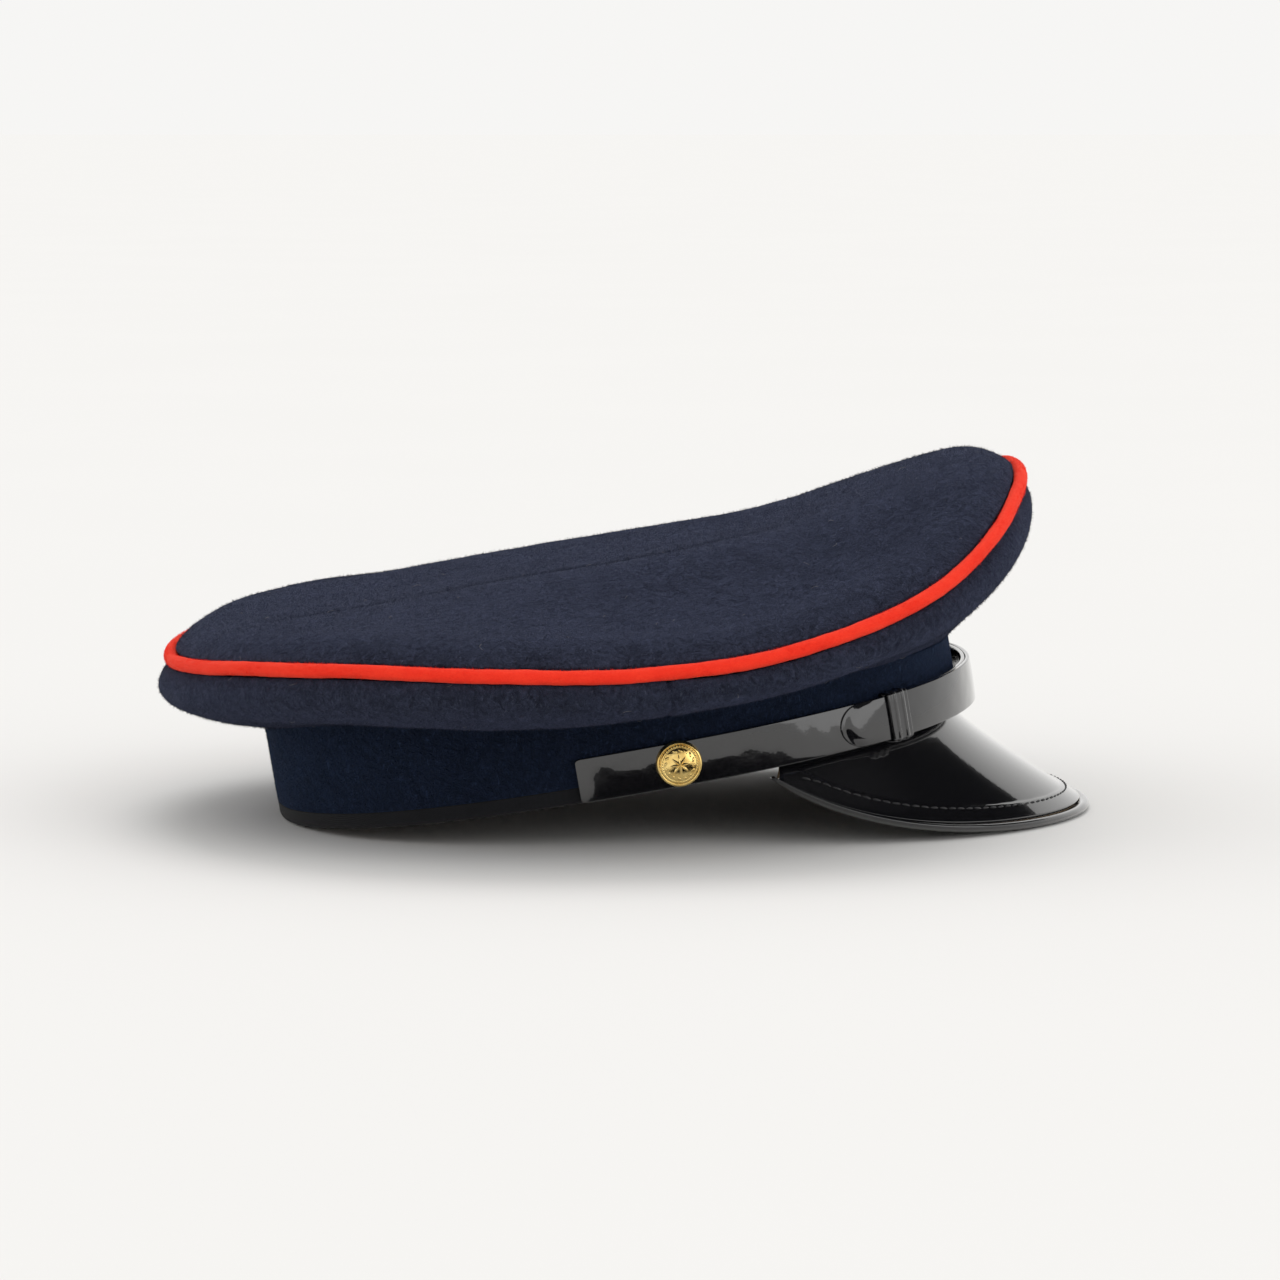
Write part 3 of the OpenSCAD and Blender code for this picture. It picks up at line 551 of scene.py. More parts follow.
shares = np.linspace(0.03, 0.78, 46)[:, None]
insets = 1.9 + 21.5 * np.linspace(1, 0, 34)[:, None] ** 1.25
upper = np.concatenate([crown_face((1 - shares) * pipe_r(TURN), 0.0), crown_face(insets + 0 * TURN, 0.0)])
edge = np.stack([polar(TURN, pipe_r(TURN) - d, pipe_z(TURN) + h)
                 for d, h in ((2.25, 1.25), (2.75, 0.4), (3.9, 0.4))])
lower = np.concatenate([
    np.stack([polar(TURN, pipe_r(TURN) - d, crown_z(TURN, d - (0.8 if d < 12 else 0)) - CLOTH)
              for d in (5.8, 7.4, 9, 11, 13, 17.5)]),
    np.stack([polar(TURN, pipe_r(TURN) * s, crown_z(TURN, pipe_r(TURN) * (1 - s)) - CLOTH)
              for s in np.linspace(0.77, 0.06, 16)])])
middle = float(upper[0, :, 2].mean())
make("crown_top_cloth", *disc([0, 0, middle], np.concatenate([upper, edge, lower]), [0, 0, middle - CLOTH]),
     CROWN, replaces=["crown_top_panel"], slot="crown_cloth")


def quarter(name, start, end):
    """One quarter of the side: it sinks into the seam at both ends and swells a little beside it."""
    width = end - start
    ends = np.radians(np.array([0, 0.15, 0.3, 0.5, 0.8, 1.2, 1.7, 2.3, 3]))
    phi = np.concatenate([start + ends, np.linspace(start + ends[-1], end - ends[-1], int(width * 74))[1:-1],
                          end - ends[::-1]])[:, None]
    t = np.linspace(0, 1, 44)[None, :]
    flat = quarter_rz(phi, t, 0 * phi * t)
    away = np.minimum(phi - start, end - phi) * flat[0]
    sink = 0.55 * np.exp(-(away / 0.75) ** 2) - 0.28 * np.exp(-((away - 4) / 2.6) ** 2)
    place = polar(phi, flat[0], flat[1])
    gather = 0.1 * np.sin(98 * phi + 1.7 * np.sin(9 * phi)) * np.exp(-((1 - t) / 0.09) ** 2)
    wave = 0.2 * drift(place, 20, 60, 8) + 0.05 * drift(place, 6, 13, 9) + gather
    outer = np.moveaxis(quarter_rz(phi, t, sink - wave), 0, -1)
    inner = np.moveaxis(quarter_rz(phi, t[:, ::-3], CLOTH + 0 * phi * t[:, ::-3]), 0, -1)
    foot = np.concatenate([band_r(phi) - CLOTH_IN, seam_z(phi)], 1)[:, None]
    rz = np.concatenate([foot, outer, inner, foot + [0, CLOTH]], 1)
    grid = polar(phi, rz[..., 0], rz[..., 1])
    make(name + "_cloth", *sections(grid, False), CROWN, replaces=[name], slot="crown_cloth")
    return grid[:, 1:1 + t.shape[1]]


sides = [quarter("quarter_" + which, math.radians(start), math.radians(end))
         for which, start, end in (("front_left", 0, 85), ("rear_left", 85, 180),
                                   ("rear_right", 180, 275), ("front_right", 275, 360))]

pipe_line = polar(LONG_TURN, pipe_r(LONG_TURN) + 0.12 * np.sin(23 * LONG_TURN),
                  pipe_z(LONG_TURN) + 0.10 * np.sin(17 * LONG_TURN + 1))
around_cord = np.linspace(0, 2 * math.pi, 22, endpoint=False)
felt = pipe_line[:, None] + PIPING_RADIUS * np.stack(
    [np.cos(around_cord), np.sin(around_cord), np.sin(2 * around_cord)], -1)
ripple = 0.07 * drift(felt, 4, 11, 12) + 0.03 * drift(felt, 1.5, 3, 13)
make("piping_cord", *tube(pipe_line, PIPING_RADIUS, 22, True, ripple=ripple), SCARLET,
     replaces=["crown_piping"], slot="scarlet_felt")


# ---------------------------------------------------------------- inside the crown
def crown_line(inset, drop):
    return polar(TURN, pipe_r(TURN) - inset, pipe_z(TURN) - drop)


make("spreader_wire", *tube(crown_line(6, 1.2), 1.0, 14, True), STEEL, replaces=["crown_wire"],
     slot="steel_wire")

# The wadding roll is whipped with thread, so it bulges between the turns
roll = np.broadcast_to(0.16 * np.cos(150 * TURN)[:, None] - 0.1, (len(TURN), 20)).copy()
roll += 0.1 * drift(crown_line(12.2, 0.6), 8, 20, 21)[:, None]
padding = make("padding_roll", *tube(crown_line(12.2, 0.6), 3.2, 20, True, ripple=roll), WADDING,
               replaces=["crown_padding"], slot="wadding")


def lining_z(phi, share):
    return crown_z(phi, pipe_r(phi) * (1 - share)) - 6.5


def level_disc(shares_, radius, drop, thick, sag):
    """Thin sheet below the crown, from its upper face round its edge to its lower face."""
    def face(s, down):
        r = radius(TURN) * s
        return polar(TURN, r, lining_z(TURN, r / pipe_r(TURN)) - down + sag(polar(TURN, r, 0 * r)))
    rings = [face(s, drop) for s in shares_] + [face(s, drop + thick) for s in shares_[::-1]]
    top, low = rings[0][:, 2].mean(), rings[-1][:, 2].mean()
    return disc([0, 0, top], np.stack(rings), [0, 0, low])


def side_wall():
    low = np.stack([band_r(TURN) - LINING_IN, seam_z(TURN) + 0.3])
    high = np.stack([pipe_r(TURN) * 0.82, lining_z(TURN, 0.82) - 0.25])
    s = np.linspace(0, 1, 26)[None, :]
    mid = low[..., None] + (high - low)[..., None] * s
    fold = np.sin(math.pi * s) * (0.35 * np.sin(64 * TURN + 2 * np.sin(5 * TURN)))[:, None]
    mid = mid + fold * np.array([0.3, -0.3])[:, None, None]
    mid[1] -= 0.9 * np.sin(math.pi * s)
    outer = polar(TURN[:, None], mid[0] + 0.2, mid[1])
    inner = polar(TURN[:, None], mid[0] - 0.2, mid[1])
    return sections(np.concatenate([outer, inner[:, ::-1]], 1), True)


def sag(points):
    """The lining hangs a little between its seams, in soft folds that run from the middle outwards."""
    phi, r = np.arctan2(points[..., 1], points[..., 0]), np.hypot(points[..., 0], points[..., 1])
    share = np.clip(r / (0.82 * pipe_r(phi)), 0, 1)
    folds = np.sin(22 * phi + 2 * np.sin(3 * phi))
    return -0.55 * (1 - share ** 2) + 0.88 * share ** 2 * (1 - share) * folds


tip_shares = np.append(np.linspace(0.03, 0.8, 30), 0.82)
tip = make("tip_lining_satin", *level_disc(tip_shares, pipe_r, -0.5, 0.4, sag), SATIN,
           replaces=["tip_lining"], slot="lining_satin")
wall = make("side_lining_satin", *side_wall(), SATIN, replaces=["side_lining"], slot="lining_satin")


def shield_radius(phi):
    return oval(phi, 66, 66, 50, 2)


make("sweat_shield_vinyl",
     *level_disc(np.linspace(0.04, 1, 16), shield_radius, 1.35, 0.3, lambda points: 0.9 * sag(points)),
     CLEAR, replaces=["sweat_shield"], slot="clear_sheet")
# Outline of the stay's section, as (angle in degrees, depth), and its run up behind the front quarters
stay_section = [(-3, 2.4), (-2.8, 2.3), (2.8, 2.3), (3, 2.4), (3, 3.3), (2.8, 3.4), (-2.8, 3.4), (-3, 3.3)]
stay = [[polar(math.radians(a), *quarter_rz(np.array(math.radians(a)), np.array(t), d))
         for a, d in stay_section] for t in np.linspace(0.4, 0.868, 40)]
make("crown_stay", *sections(np.array(stay), False), STAY, replaces=["front_stay"], slot="stay_plastic")


# ---------------------------------------------------------------- the band
def band_layer(outline, wave=0.0, seed=0):
    """Ring round the head through an outline of (depth inside the band's face, height), a little uneven."""
    rows = []
    for depth, height in outline:
        z = height(TURN) if callable(height) else height + 0 * TURN
        rows.append(polar(TURN, band_r(TURN) - depth, z))
        if wave and depth < CLOTH_IN / 2:
            swell = wave * np.clip(drift(rows[-1], 14, 60, seed), -1, 1)
            rows[-1] = polar(TURN, band_r(TURN) - depth + swell, z)
    return sections(np.stack(rows, 1), True)


def up_to_seam(share, low):
    return lambda phi: low + (seam_z(phi) - low) * share


cloth_outline = [(CLOTH_IN, WELT_HEIGHT), (0.25, WELT_HEIGHT)]
cloth_outline += [(0.0, up_to_seam(s, WELT_HEIGHT + 0.1)) for s in np.linspace(0.01, 0.99, 22)]
cloth_outline += [(0.1, seam_z), (CLOTH_IN, seam_z)]
make("band_melton", *band_layer(cloth_outline, 0.1, 31), BAND, replaces=["band_cloth"], slot="band_cloth")
# Ribs run along the tape that covers the lower edge
ribs = [(0.02 + 0.05 * math.cos(math.pi * k), 1.3 + 0.17 * k) for k in range(20)]
welt_outline = [(STIFFENER_IN, 0.05), (2.0, 0.0), (1.2, 0.0), (0.75, 0.07), (0.35, 0.35), (0.1, 0.75)] + ribs
welt_outline += [(0.02, WELT_HEIGHT - 0.25), (0.18, WELT_HEIGHT - 0.02), (CLOTH_IN, WELT_HEIGHT),
                 (CLOTH_IN, WELT_ROUND), (STIFFENER_IN, WELT_ROUND)]
make("band_welt_tape", *band_layer(welt_outline), TAPE, replaces=["band_welt"], slot="welt_tape")
near, far, fold = SWEATBAND_OUT, SWEATBAND_IN, (SWEATBAND_OUT + SWEATBAND_IN) / 2
leather_outline = [(far - 0.05, 0.42), (fold, 0.36), (near + 0.05, 0.42)]
leather_outline += [(near, z) for z in np.linspace(1, SWEATBAND_HEIGHT - 1, 12)]
leather_outline += [(near + 0.05, SWEATBAND_HEIGHT - 0.1), (fold, SWEATBAND_HEIGHT),
                    (far - 0.05, SWEATBAND_HEIGHT - 0.1)]
leather_outline += [(far, z) for z in np.linspace(SWEATBAND_HEIGHT - 1, 1, 12)]
make("sweatband_leather", *band_layer(leather_outline), SWEAT, replaces=["sweatband"], slot="sweat_leather")
reed_line = polar(LONG_TURN, band_r(LONG_TURN) - SWEATBAND_IN - 0.8, 1.3)
whip = np.broadcast_to(0.05 * np.cos(300 * LONG_TURN)[:, None], (len(LONG_TURN), 12))
make("sweatband_reed_cord", *tube(reed_line, 0.72, 12, True, ripple=whip), SWEAT,
     replaces=["sweatband_reed"], slot="sweat_leather")


def leather_stitch(a, z, turn=0.016):
    """A stitch on the leather's inner face, from one angle round the head to a slightly larger one."""
    start, end = (polar(angle, band_r(angle) - SWEATBAND_IN - 0.02, z) for angle in (a, a + turn))
    return capsule(start, end, 0.2, [-0.12 * math.cos(a), -0.12 * math.sin(a), 0])


# Two rows of stitches hold the leather
leather_stitches = [leather_stitch(a, z) for z in (2.9, 33.5)
                    for a in np.linspace(-math.pi, math.pi, 230, endpoint=False)]
make("sweatband_stitches", *merged(leather_stitches), THREAD, slot="sweat_leather")


def squared(wave):
    """A sine's or cosine's values pushed outwards, so that a round section turns into a rounded box."""
    return np.sign(wave) * np.abs(wave) ** 0.55


pad_phi = np.radians(np.linspace(-30, 30, 121))[:, None]
pad_turn = np.linspace(0, 2 * math.pi, 28, endpoint=False)[None, :]
pad_end = np.clip((math.radians(30) - np.abs(pad_phi)) / math.radians(2.5), 0.02, 1) ** 0.5
pad_grid = polar(pad_phi, band_r(pad_phi) - 3.85 + 0.75 * squared(np.cos(pad_turn)) * pad_end,
                 13.5 + 6.3 * squared(np.sin(pad_turn)) * (0.75 + 0.25 * pad_end))
pad = make("forehead_pad_foam", *sections(pad_grid, False), FOAM, replaces=["forehead_pad"], slot="foam")
# The bow: two loops of ribbon and a knot
bow_x, bow_z, knot_half = -(float(band_r(math.pi)) - SWEATBAND_IN) + 0.7, 11, 0.95
turn = np.linspace(0, 2 * math.pi, 48, endpoint=False)
ribbon = [(-0.55, -0.16), (0.55, -0.16), (0.55, 0.16), (-0.55, 0.16)]
bow = []
for side in (-1, 1):
    line = np.stack([bow_x + 0.7 + 0 * turn, side * (5.9 + 4.3 * np.cos(turn)),
                     bow_z + 2.5 * np.sin(turn) + 0.4 * np.cos(turn)], -1)
    out = np.stack([0 * turn, side * np.cos(turn), np.sin(turn)], -1)
    bow.append(sections(np.stack([line + [u, 0, 0] + v * out for u, v in ribbon], 1), True))
knot_turn = pad_turn[0]
knot = np.stack([np.stack([bow_x + knot_half * (1 - np.cos(k)) + 0 * knot_turn,
                           1.9 * np.sin(k) * np.cos(knot_turn),
                           bow_z + 2.1 * np.sin(k) * np.sin(knot_turn)], -1)
                 for k in np.linspace(0, math.pi, 14)[1:-1]])
bow.append(disc([bow_x, 0, bow_z], knot, [bow_x + 2 * knot_half, 0, bow_z]))
make("sweatband_bow_ribbon", *merged(bow), RIBBON, replaces=["sweatband_bow"], slot="bow_tape")


# ---------------------------------------------------------------- the nap
def nap(name, faces_of, count, length, seed, material, slot, width=0.085, lean=1.1):
    """The wool's loose fibres, over one or several grids of points."""
    found = [scatter(stand(grid) / MM, share, seed + k)
             for k, (grid, share) in enumerate(zip(faces_of, count))]
    points, normals = (np.concatenate(list(v)) for v in zip(*found))
    points, faces = spikes(points, normals, length, width, lean, seed)
    make(name, points * MM, faces, material, slot=slot, world=True, flat=True)


def facing_out(grid):
    """The grid turned so that its normals point away from a place inside the cap."""
    i, j = grid.shape[0] // 2, grid.shape[1] // 2
    a, b, c, d = grid[i, j], grid[i, j + 1], grid[i + 1, j + 1], grid[i + 1, j]
    return grid if np.dot(np.cross(c - a, d - b), a - [0, 0, 20]) > 0 else grid[:, ::-1]


def all_round(grid):
    """The grid with its first column once more at its end, to close it round the cap."""
    return np.concatenate([grid, grid[:, :1]], 1)


top_face, side_faces = facing_out(all_round(upper)), [facing_out(side) for side in sides]
nap("crown_top_nap", [top_face], [44000], 1.15, 61, CROWN_NAP, "crown_cloth")
nap("quarters_nap", side_faces, [7000, 8000, 8000, 7000], 1.15, 63, CROWN_NAP, "crown_cloth")
# Where the strap and the keepers rub, the nap is worn off, so it starts above them
worn = (STRAP_HIGH + 8 - WELT_HEIGHT) * smooth((1.95 - np.abs(np.angle(np.exp(1j * TURN)))) / 0.12)
worn = np.minimum(worn, seam_z(TURN) - WELT_HEIGHT - 1)
band_face = polar(TURN[:, None], band_r(TURN)[:, None], WELT_HEIGHT + 0.2 + worn[:, None]
                  + (seam_z(TURN) - WELT_HEIGHT - worn)[:, None] * np.linspace(0, 0.98, 12)[None, :])
cord_angle = np.linspace(-0.9, 2.3, 10)[None, :]
cord_face = polar(LONG_TURN[:, None], pipe_r(LONG_TURN)[:, None] + PIPING_RADIUS * np.cos(cord_angle),
                  pipe_z(LONG_TURN)[:, None] + PIPING_RADIUS * np.sin(cord_angle))
band_face, cord_face = (facing_out(np.concatenate([face, face[:1]])) for face in (band_face, cord_face))
nap("band_nap", [band_face], [11000], 0.6, 65, BAND_NAP, "band_cloth")
nap("piping_nap", [cord_face], [16000], 0.7, 67, SCARLET, "scarlet_felt", 0.07, 0.8)

# A little pale lint, as any wool cap gathers
rng = np.random.default_rng(71)
lint = []
for grid, count in [(top_face, 46)] + [(face, 16) for face in side_faces]:
    places, normals = scatter(grid, count, 72 + count + len(lint))
    for place, normal in zip(places + 0.12 * normals, normals):
        way = np.cross(normal, rng.normal(size=3))
        way *= rng.uniform(0.5, 1.6) / np.linalg.norm(way)
        bend = np.cross(way, normal) * rng.uniform(-0.6, 0.6) + normal * rng.uniform(0.1, 0.5)
        lint.append(capsule(place - way, place + way, 0.045, bend, 9, 5))
make("stray_lint", *merged(lint), LINT_FIBRE, slot="crown_cloth")


# ---------------------------------------------------------------- the peak
WIDE = np.linspace(-math.radians(88), math.radians(88), 241)[:, None]
RIM_T, STRIP, STITCH_IN = 0.955, 8.2, 6.9
deep = np.linspace(0, RIM_T, 84)[None, :]


def from_rim(w, t):
    """Distance over the peak's face from its rim, in millimetres."""
    face, total = peak_point(w, t), 0.0
    for s in np.linspace(0, 1, 60)[1:]:
        ahead = peak_point(w, t + (1 - t) * s)
        total = total + np.linalg.norm(ahead - face, axis=-1)
        face = ahead
    return total


def peak_sheet(name, top, bottom, material, slot, node, raise_strip=False):
    rise = 0.0
    if raise_strip:
        rise = 0.32 * smooth((STRIP - from_rim(WIDE, deep)) / 0.5 + 0.5)
        rise = rise + 0.07 * drift(peak_point(WIDE, deep), 25, 70, 41)
    outer = peak_at(WIDE, deep, top - rise)
    inner = peak_at(WIDE, deep[:, ::-2], bottom)
    make(name, *sections(np.concatenate([outer, inner], 1), False), material, replaces=[node], slot=slot)


PEAK_THICK = PATENT + BOARD + UNDERSIDE
peak_sheet("peak_patent_face", 0, PATENT, GLOSS, "patent", "peak_patent", True)
peak_sheet("peak_board_core", PATENT, PATENT + BOARD, FIBRE, "peak_board", "peak_board")
peak_sheet("peak_underside_face", PATENT + BOARD, PEAK_THICK, PEAK_LEATHER, "peak_underside", "peak_lining")

rim_w = np.linspace(-math.radians(89), math.radians(89), 300)
outward = unit(polar(rim_w * 0.9, 1, -0.5 * np.cos(rim_w)))
over = peak_normal(rim_w, 0.96)
heart = peak_at(rim_w, 0.96, PEAK_THICK / 2) + outward * (BEAD_RADIUS + 0.3)
turn = np.linspace(0, 2 * math.pi, 28, endpoint=False)[None, :, None]
bead_r = BEAD_RADIUS + 0.03 * drift(heart, 8, 30, 43)[:, None, None]
bead = heart[:, None] + bead_r * (np.cos(turn) * outward[:, None] + np.sin(turn) * over[:, None])
make("peak_rim_bead", *sections(bead, False), GLOSS, replaces=["peak_binding"], slot="patent")

# The row of stitches that holds the binding strip, sunk into it a little
STITCH_STEP, STITCH_GAP = 3.3, 0.3
stitch_w, trial = np.linspace(-math.radians(84), math.radians(84), 1400), np.linspace(0.5, 0.99, 120)
reach = from_rim(stitch_w[::20, None], trial[None, :])
stitch_t = np.interp(stitch_w, stitch_w[::20], [np.interp(-STITCH_IN, -row, trial) for row in reach])
row = peak_at(stitch_w, stitch_t, -0.30)
run = np.concatenate([[0], np.cumsum(np.linalg.norm(np.diff(row, axis=0), axis=1))])


def stitch_place(along):
    """The peak's coordinates at a distance along the row of stitches."""
    return [np.interp(along, run, values) for values in (stitch_w, stitch_t)]


stitches = []
for k in range(int(run[-1] / STITCH_STEP)):
    first, last = k * STITCH_STEP + STITCH_GAP, (k + 1) * STITCH_STEP - 0.1 - STITCH_GAP
    a, b = (peak_at(*stitch_place(along), 0.0) for along in (first, last))
    up = peak_normal(*stitch_place((first + last) / 2))
    slant = np.cross(b - a, up) * 0.03 * (-1) ** k
    stitches.append(capsule(a - slant + up * 0.25, b + slant + up * 0.25, 0.27, up * 0.27, 8, 8))
make("peak_stitches", *merged(stitches), THREAD, slot="patent")


# ---------------------------------------------------------------- the chin strap
def strap_outline(half):
    """Section of the strap: rounded edges, a faintly crowned outer face and a plain inner one."""
    r = 0.38
    low = [(STRAP_THICK - r + r * math.cos(a), -half + r + r * math.sin(a))
           for a in np.radians([-90, -65, -40, -15])]
    face = [(STRAP_THICK + 0.16 * (1 - s * s), s * (half - r)) for s in np.linspace(-1, 1, 13)]
    top = [(u, -v) for u, v in low[::-1]]
    back = [(0.12, half), (0.0, half - 0.15)] + [(0.0, s * (half - 0.3)) for s in (0.6, 0.2, -0.2, -0.6)]
    return np.array(low + face + top + back + [(0.0, 0.15 - half), (0.12, -half)])


def strap_half(node, rear, tip, over_share, seed):
    """One half from its near-straight rear end to its rounded tip, over or under the other half."""
    heading, arc = (1 if tip > rear else -1), 4.6
    turns = np.radians(np.linspace(0, 90, 22))
    phi = np.concatenate([rear + heading * np.array([0.0, 0.12, 0.3, 0.55, 0.85]),
                          np.linspace(rear + heading * 1.2, tip - heading * (arc + 0.1), 300),
                          tip - heading * arc * (1 - np.sin(turns))])
    half = np.full(len(phi), STRAP_HALF)
    half[:5] = STRAP_HALF - np.array([1.0, 0.55, 0.28, 0.12, 0.03])
    half[-22:] = STRAP_HALF * np.clip(np.cos(turns), 0.1, 1)
    phi = np.radians(phi)
    lift = over_share * (STRAP_THICK + 0.15) * (1 - smooth((np.degrees(phi) - HIDDEN_TIP - 2) / 8))
    rows = []
    for a, h, up in zip(phi, half, lift):
        shape = strap_outline(h)
        rows.append(polar(a, band_r(a) + strap_out(a) + up + shape[:, 0], STRAP_MIDDLE + shape[:, 1]))
    rows = np.array(rows)
    # The leather thins towards the rounded end, so its edge falls away on the outer side
    along = heading * (phi - math.radians(tip - heading * arc))[:, None] * band_r(phi)[:, None]
    out_of = np.hypot(np.clip(along, 0, None), rows[..., 2] - STRAP_MIDDLE) / STRAP_HALF
    bevel = smooth(1 + along / 9) * np.clip((out_of - 0.56) / 0.44, 0, 1) ** 2
    r = np.linalg.norm(rows[..., :2], axis=-1)
    thick = np.clip(r - (band_r(phi) + strap_out(phi) + lift)[:, None], 0, None)
    rows[..., :2] *= 1 - (0.62 * bevel * thick / r)[..., None]
    sway = 0.05 * drift(rows, 18, 60, seed) + 0.02 * drift(rows, 5, 9, seed + 1)
    rows += sway[..., None] * polar(phi, 1.0, 0.0)[:, None]
    make(f"{node}_patent", *sections(rows, False), GLOSS, "chin_strap", [node], "patent")


strap_half("strap_right", -STRAP_REAR, HIDDEN_TIP, 0, 51)
strap_half("strap_left", STRAP_REAR, -TONGUE, 1, 53)


def strap_line(phi):
    return polar(phi, band_r(phi) + strap_out(phi) + STRAP_THICK, STRAP_MIDDLE)


def keeper(node, angle):
    """Loop of patent leather round both layers, with two ribs pressed into it on the outer side."""
    phi = math.radians(angle)
    along = unit(strap_line(phi + 0.0175) - strap_line(phi - 0.0175))
    inward, up = np.array([-along[1], along[0], 0]), np.array([0, 0, 1.0])
    deep_half, high_half, r = STRAP_THICK + KEEPER_CLEARANCE, STRAP_HALF + 0.2, 0.6
    loop = []
    for corner, (sx, sz) in enumerate(((1, 1), (-1, 1), (-1, -1), (1, -1))):
        for a in np.radians(np.linspace(0, 90, 7) + 90 * corner):
            loop.append((sx * (deep_half - r) + r * math.cos(a), sz * (high_half - r) + r * math.sin(a),
                         math.cos(a), math.sin(a)))
        step_x, step_z = ((-1, 0), (0, -1), (1, 0), (0, 1))[corner]
        x, z, nx, nz = loop[-1]
        for s in np.linspace(0, 2, 8)[1:-1]:
            loop.append((x + (deep_half - r) * step_x * s, z + (high_half - r) * step_z * s, nx, nz))
    x = np.linspace(-KEEPER_LENGTH / 2, KEEPER_LENGTH / 2, 49)
    rows = []
    for u, v, nu, nv in loop:
        rib = (1 - smooth(nu * 2)) * 0.36 * sum(np.exp(-(((x - c) / 0.62) ** 4)) for c in (-1.6, 1.6))
        ends = 0.25 * np.clip((np.abs(x) - KEEPER_LENGTH / 2 + 0.4) / 0.4, 0, 1) ** 2
        line = list(zip(x, KEEPER_WALL + rib - ends)) + [(a, 0.0) for a in x[::-4]]
        rows.append([strap_line(phi) + along * a + inward * (u + nu * w) + up * (v + nv * w)
                     for a, w in line])
    make(f"{node}_loop", *sections(np.array(rows), True), GLOSS, node, [node], "patent")


keeper("keeper_right", -KEEPER)
keeper("keeper_left", KEEPER)


# ---------------------------------------------------------------- buttons and badge
def rope(r, angle, at, radius, twists):
    """Height of a twisted rope that runs round at a radius."""
    inside = np.clip(1 - ((r - at) / radius) ** 2, 0, None) ** 0.5
    return radius * inside * (0.72 + 0.28 * np.sin(twists * angle + 5 * (r - at) / radius))


def star(r, angle, rays, tip, valley, height):
    """Height of a faceted star: each ray falls from a ridge to both sides."""
    share = np.abs((angle * rays / (2 * math.pi) + 0.5) % 1 - 0.5) * 2
    return height * np.clip(1 - r / (valley + (tip - valley) * (1 - share) ** 1.6), 0, 1)


def leaves(r, angle, count, at, length, width, height):
    """Height of small leaves that lie slantwise round a ring."""
    cell = (angle * count / (2 * math.pi)) % 1 - 0.5
    along, across = cell * 2 * math.pi * at / count, r - at
    u, v = along * 0.82 + across * 0.57, -along * 0.57 + across * 0.82
    body = np.clip(1 - (u / length) ** 2 - (v / width) ** 2, 0, 1)
    return height * body ** 0.6 * (1 - 0.35 * np.exp(-(v / 0.07) ** 2))


def relief(radius, height, floor, spin=240, rings=78):
    """Round stamped piece: points (x across, y up, z outwards) from its raised face round to its back."""
    angle = np.linspace(0, 2 * math.pi, spin, endpoint=False)[None, :]
    r = radius * np.linspace(0.02, 1, rings)[:, None]
    face = polar(angle, r, height(r, angle))
    back = polar(angle, radius * np.array([[1.0], [0.93], [0.5], [0.1]]), floor)
    return disc([0, 0, float(height(np.array(0.0), np.array(0.0)))], np.concatenate([face, back]),
                [0, 0, floor])


def button_height(r, angle):
    rise = 2.55
    ball_r = (BUTTON_RADIUS ** 2 + rise ** 2) / (2 * rise)
    dome = rise - ball_r + np.sqrt(ball_r ** 2 - np.minimum(r, BUTTON_RADIUS) ** 2)
    edge_ring = 0.42 * np.exp(-((r - 6.35) / 0.42) ** 4) - 0.5 * smooth((r - 6.5) / 0.35)
    ground = 0.012 * np.sin(r * 40) * np.sin(angle * 90)
    return (dome + edge_ring + 0.9 * rope(r, angle, 5.35, 0.36, 40) + star(r, angle, 8, 3.1, 1.15, 0.62)
            + leaves(r, angle, 16, 4.2, 0.66, 0.27, 0.26) + ground * (r > 3.2) * (r < 5))


def on_side(points, side):
    """Points drawn outwards from the band's middle plane, on the wearer's left (1) or right (-1)."""
    x, y, z = np.moveaxis(np.asarray(points, float), -1, 0)
    return np.stack([BUTTON_X - side * x, side * (BUTTON_FACE + z), BUTTON_Z + y], -1)


for label, side in (("left", 1), ("right", -1)):
    points, faces = relief(BUTTON_RADIUS, button_height, -0.68)
    make(f"button_{label}_stamped", on_side(points, side), faces, GILT, f"button_{label}",
         [f"button_dome_{label}"], "gilt")


def slope_frame():
    """Foot, direction up the slope and direction outwards where the badge sits."""
    t, zero = np.array(BADGE_PLACE), np.array(0.0)
    foot, ahead = quarter_rz(zero, t, 0.0), quarter_rz(zero, t + 0.001, 0.0)
    up = unit(ahead - foot)
    return (np.array([foot[0], 0, foot[1]]), np.array([up[0], 0, up[1]]), np.array([up[1], 0, -up[0]]))


def on_front(points):
    foot, up, out = slope_frame()
    p = np.asarray(points, float)
    return foot + p[..., :1] * np.array([0, 1, 0]) + p[..., 1:2] * up + p[..., 2:] * out


def badge_piece(name, points, faces, node):
    make(name, on_front(points), faces, GILT, "cap", [node], "gilt")


def plate_height(r, angle):
    return 0.9 + 0.55 * (1 - r ** 2) + 0.03 * np.sin(r * 60) * np.sin(40 * angle)


def badge_star_height(r, angle):
    return 1.15 + star(r, angle, 8, 9.5, 3.3, 1.5)


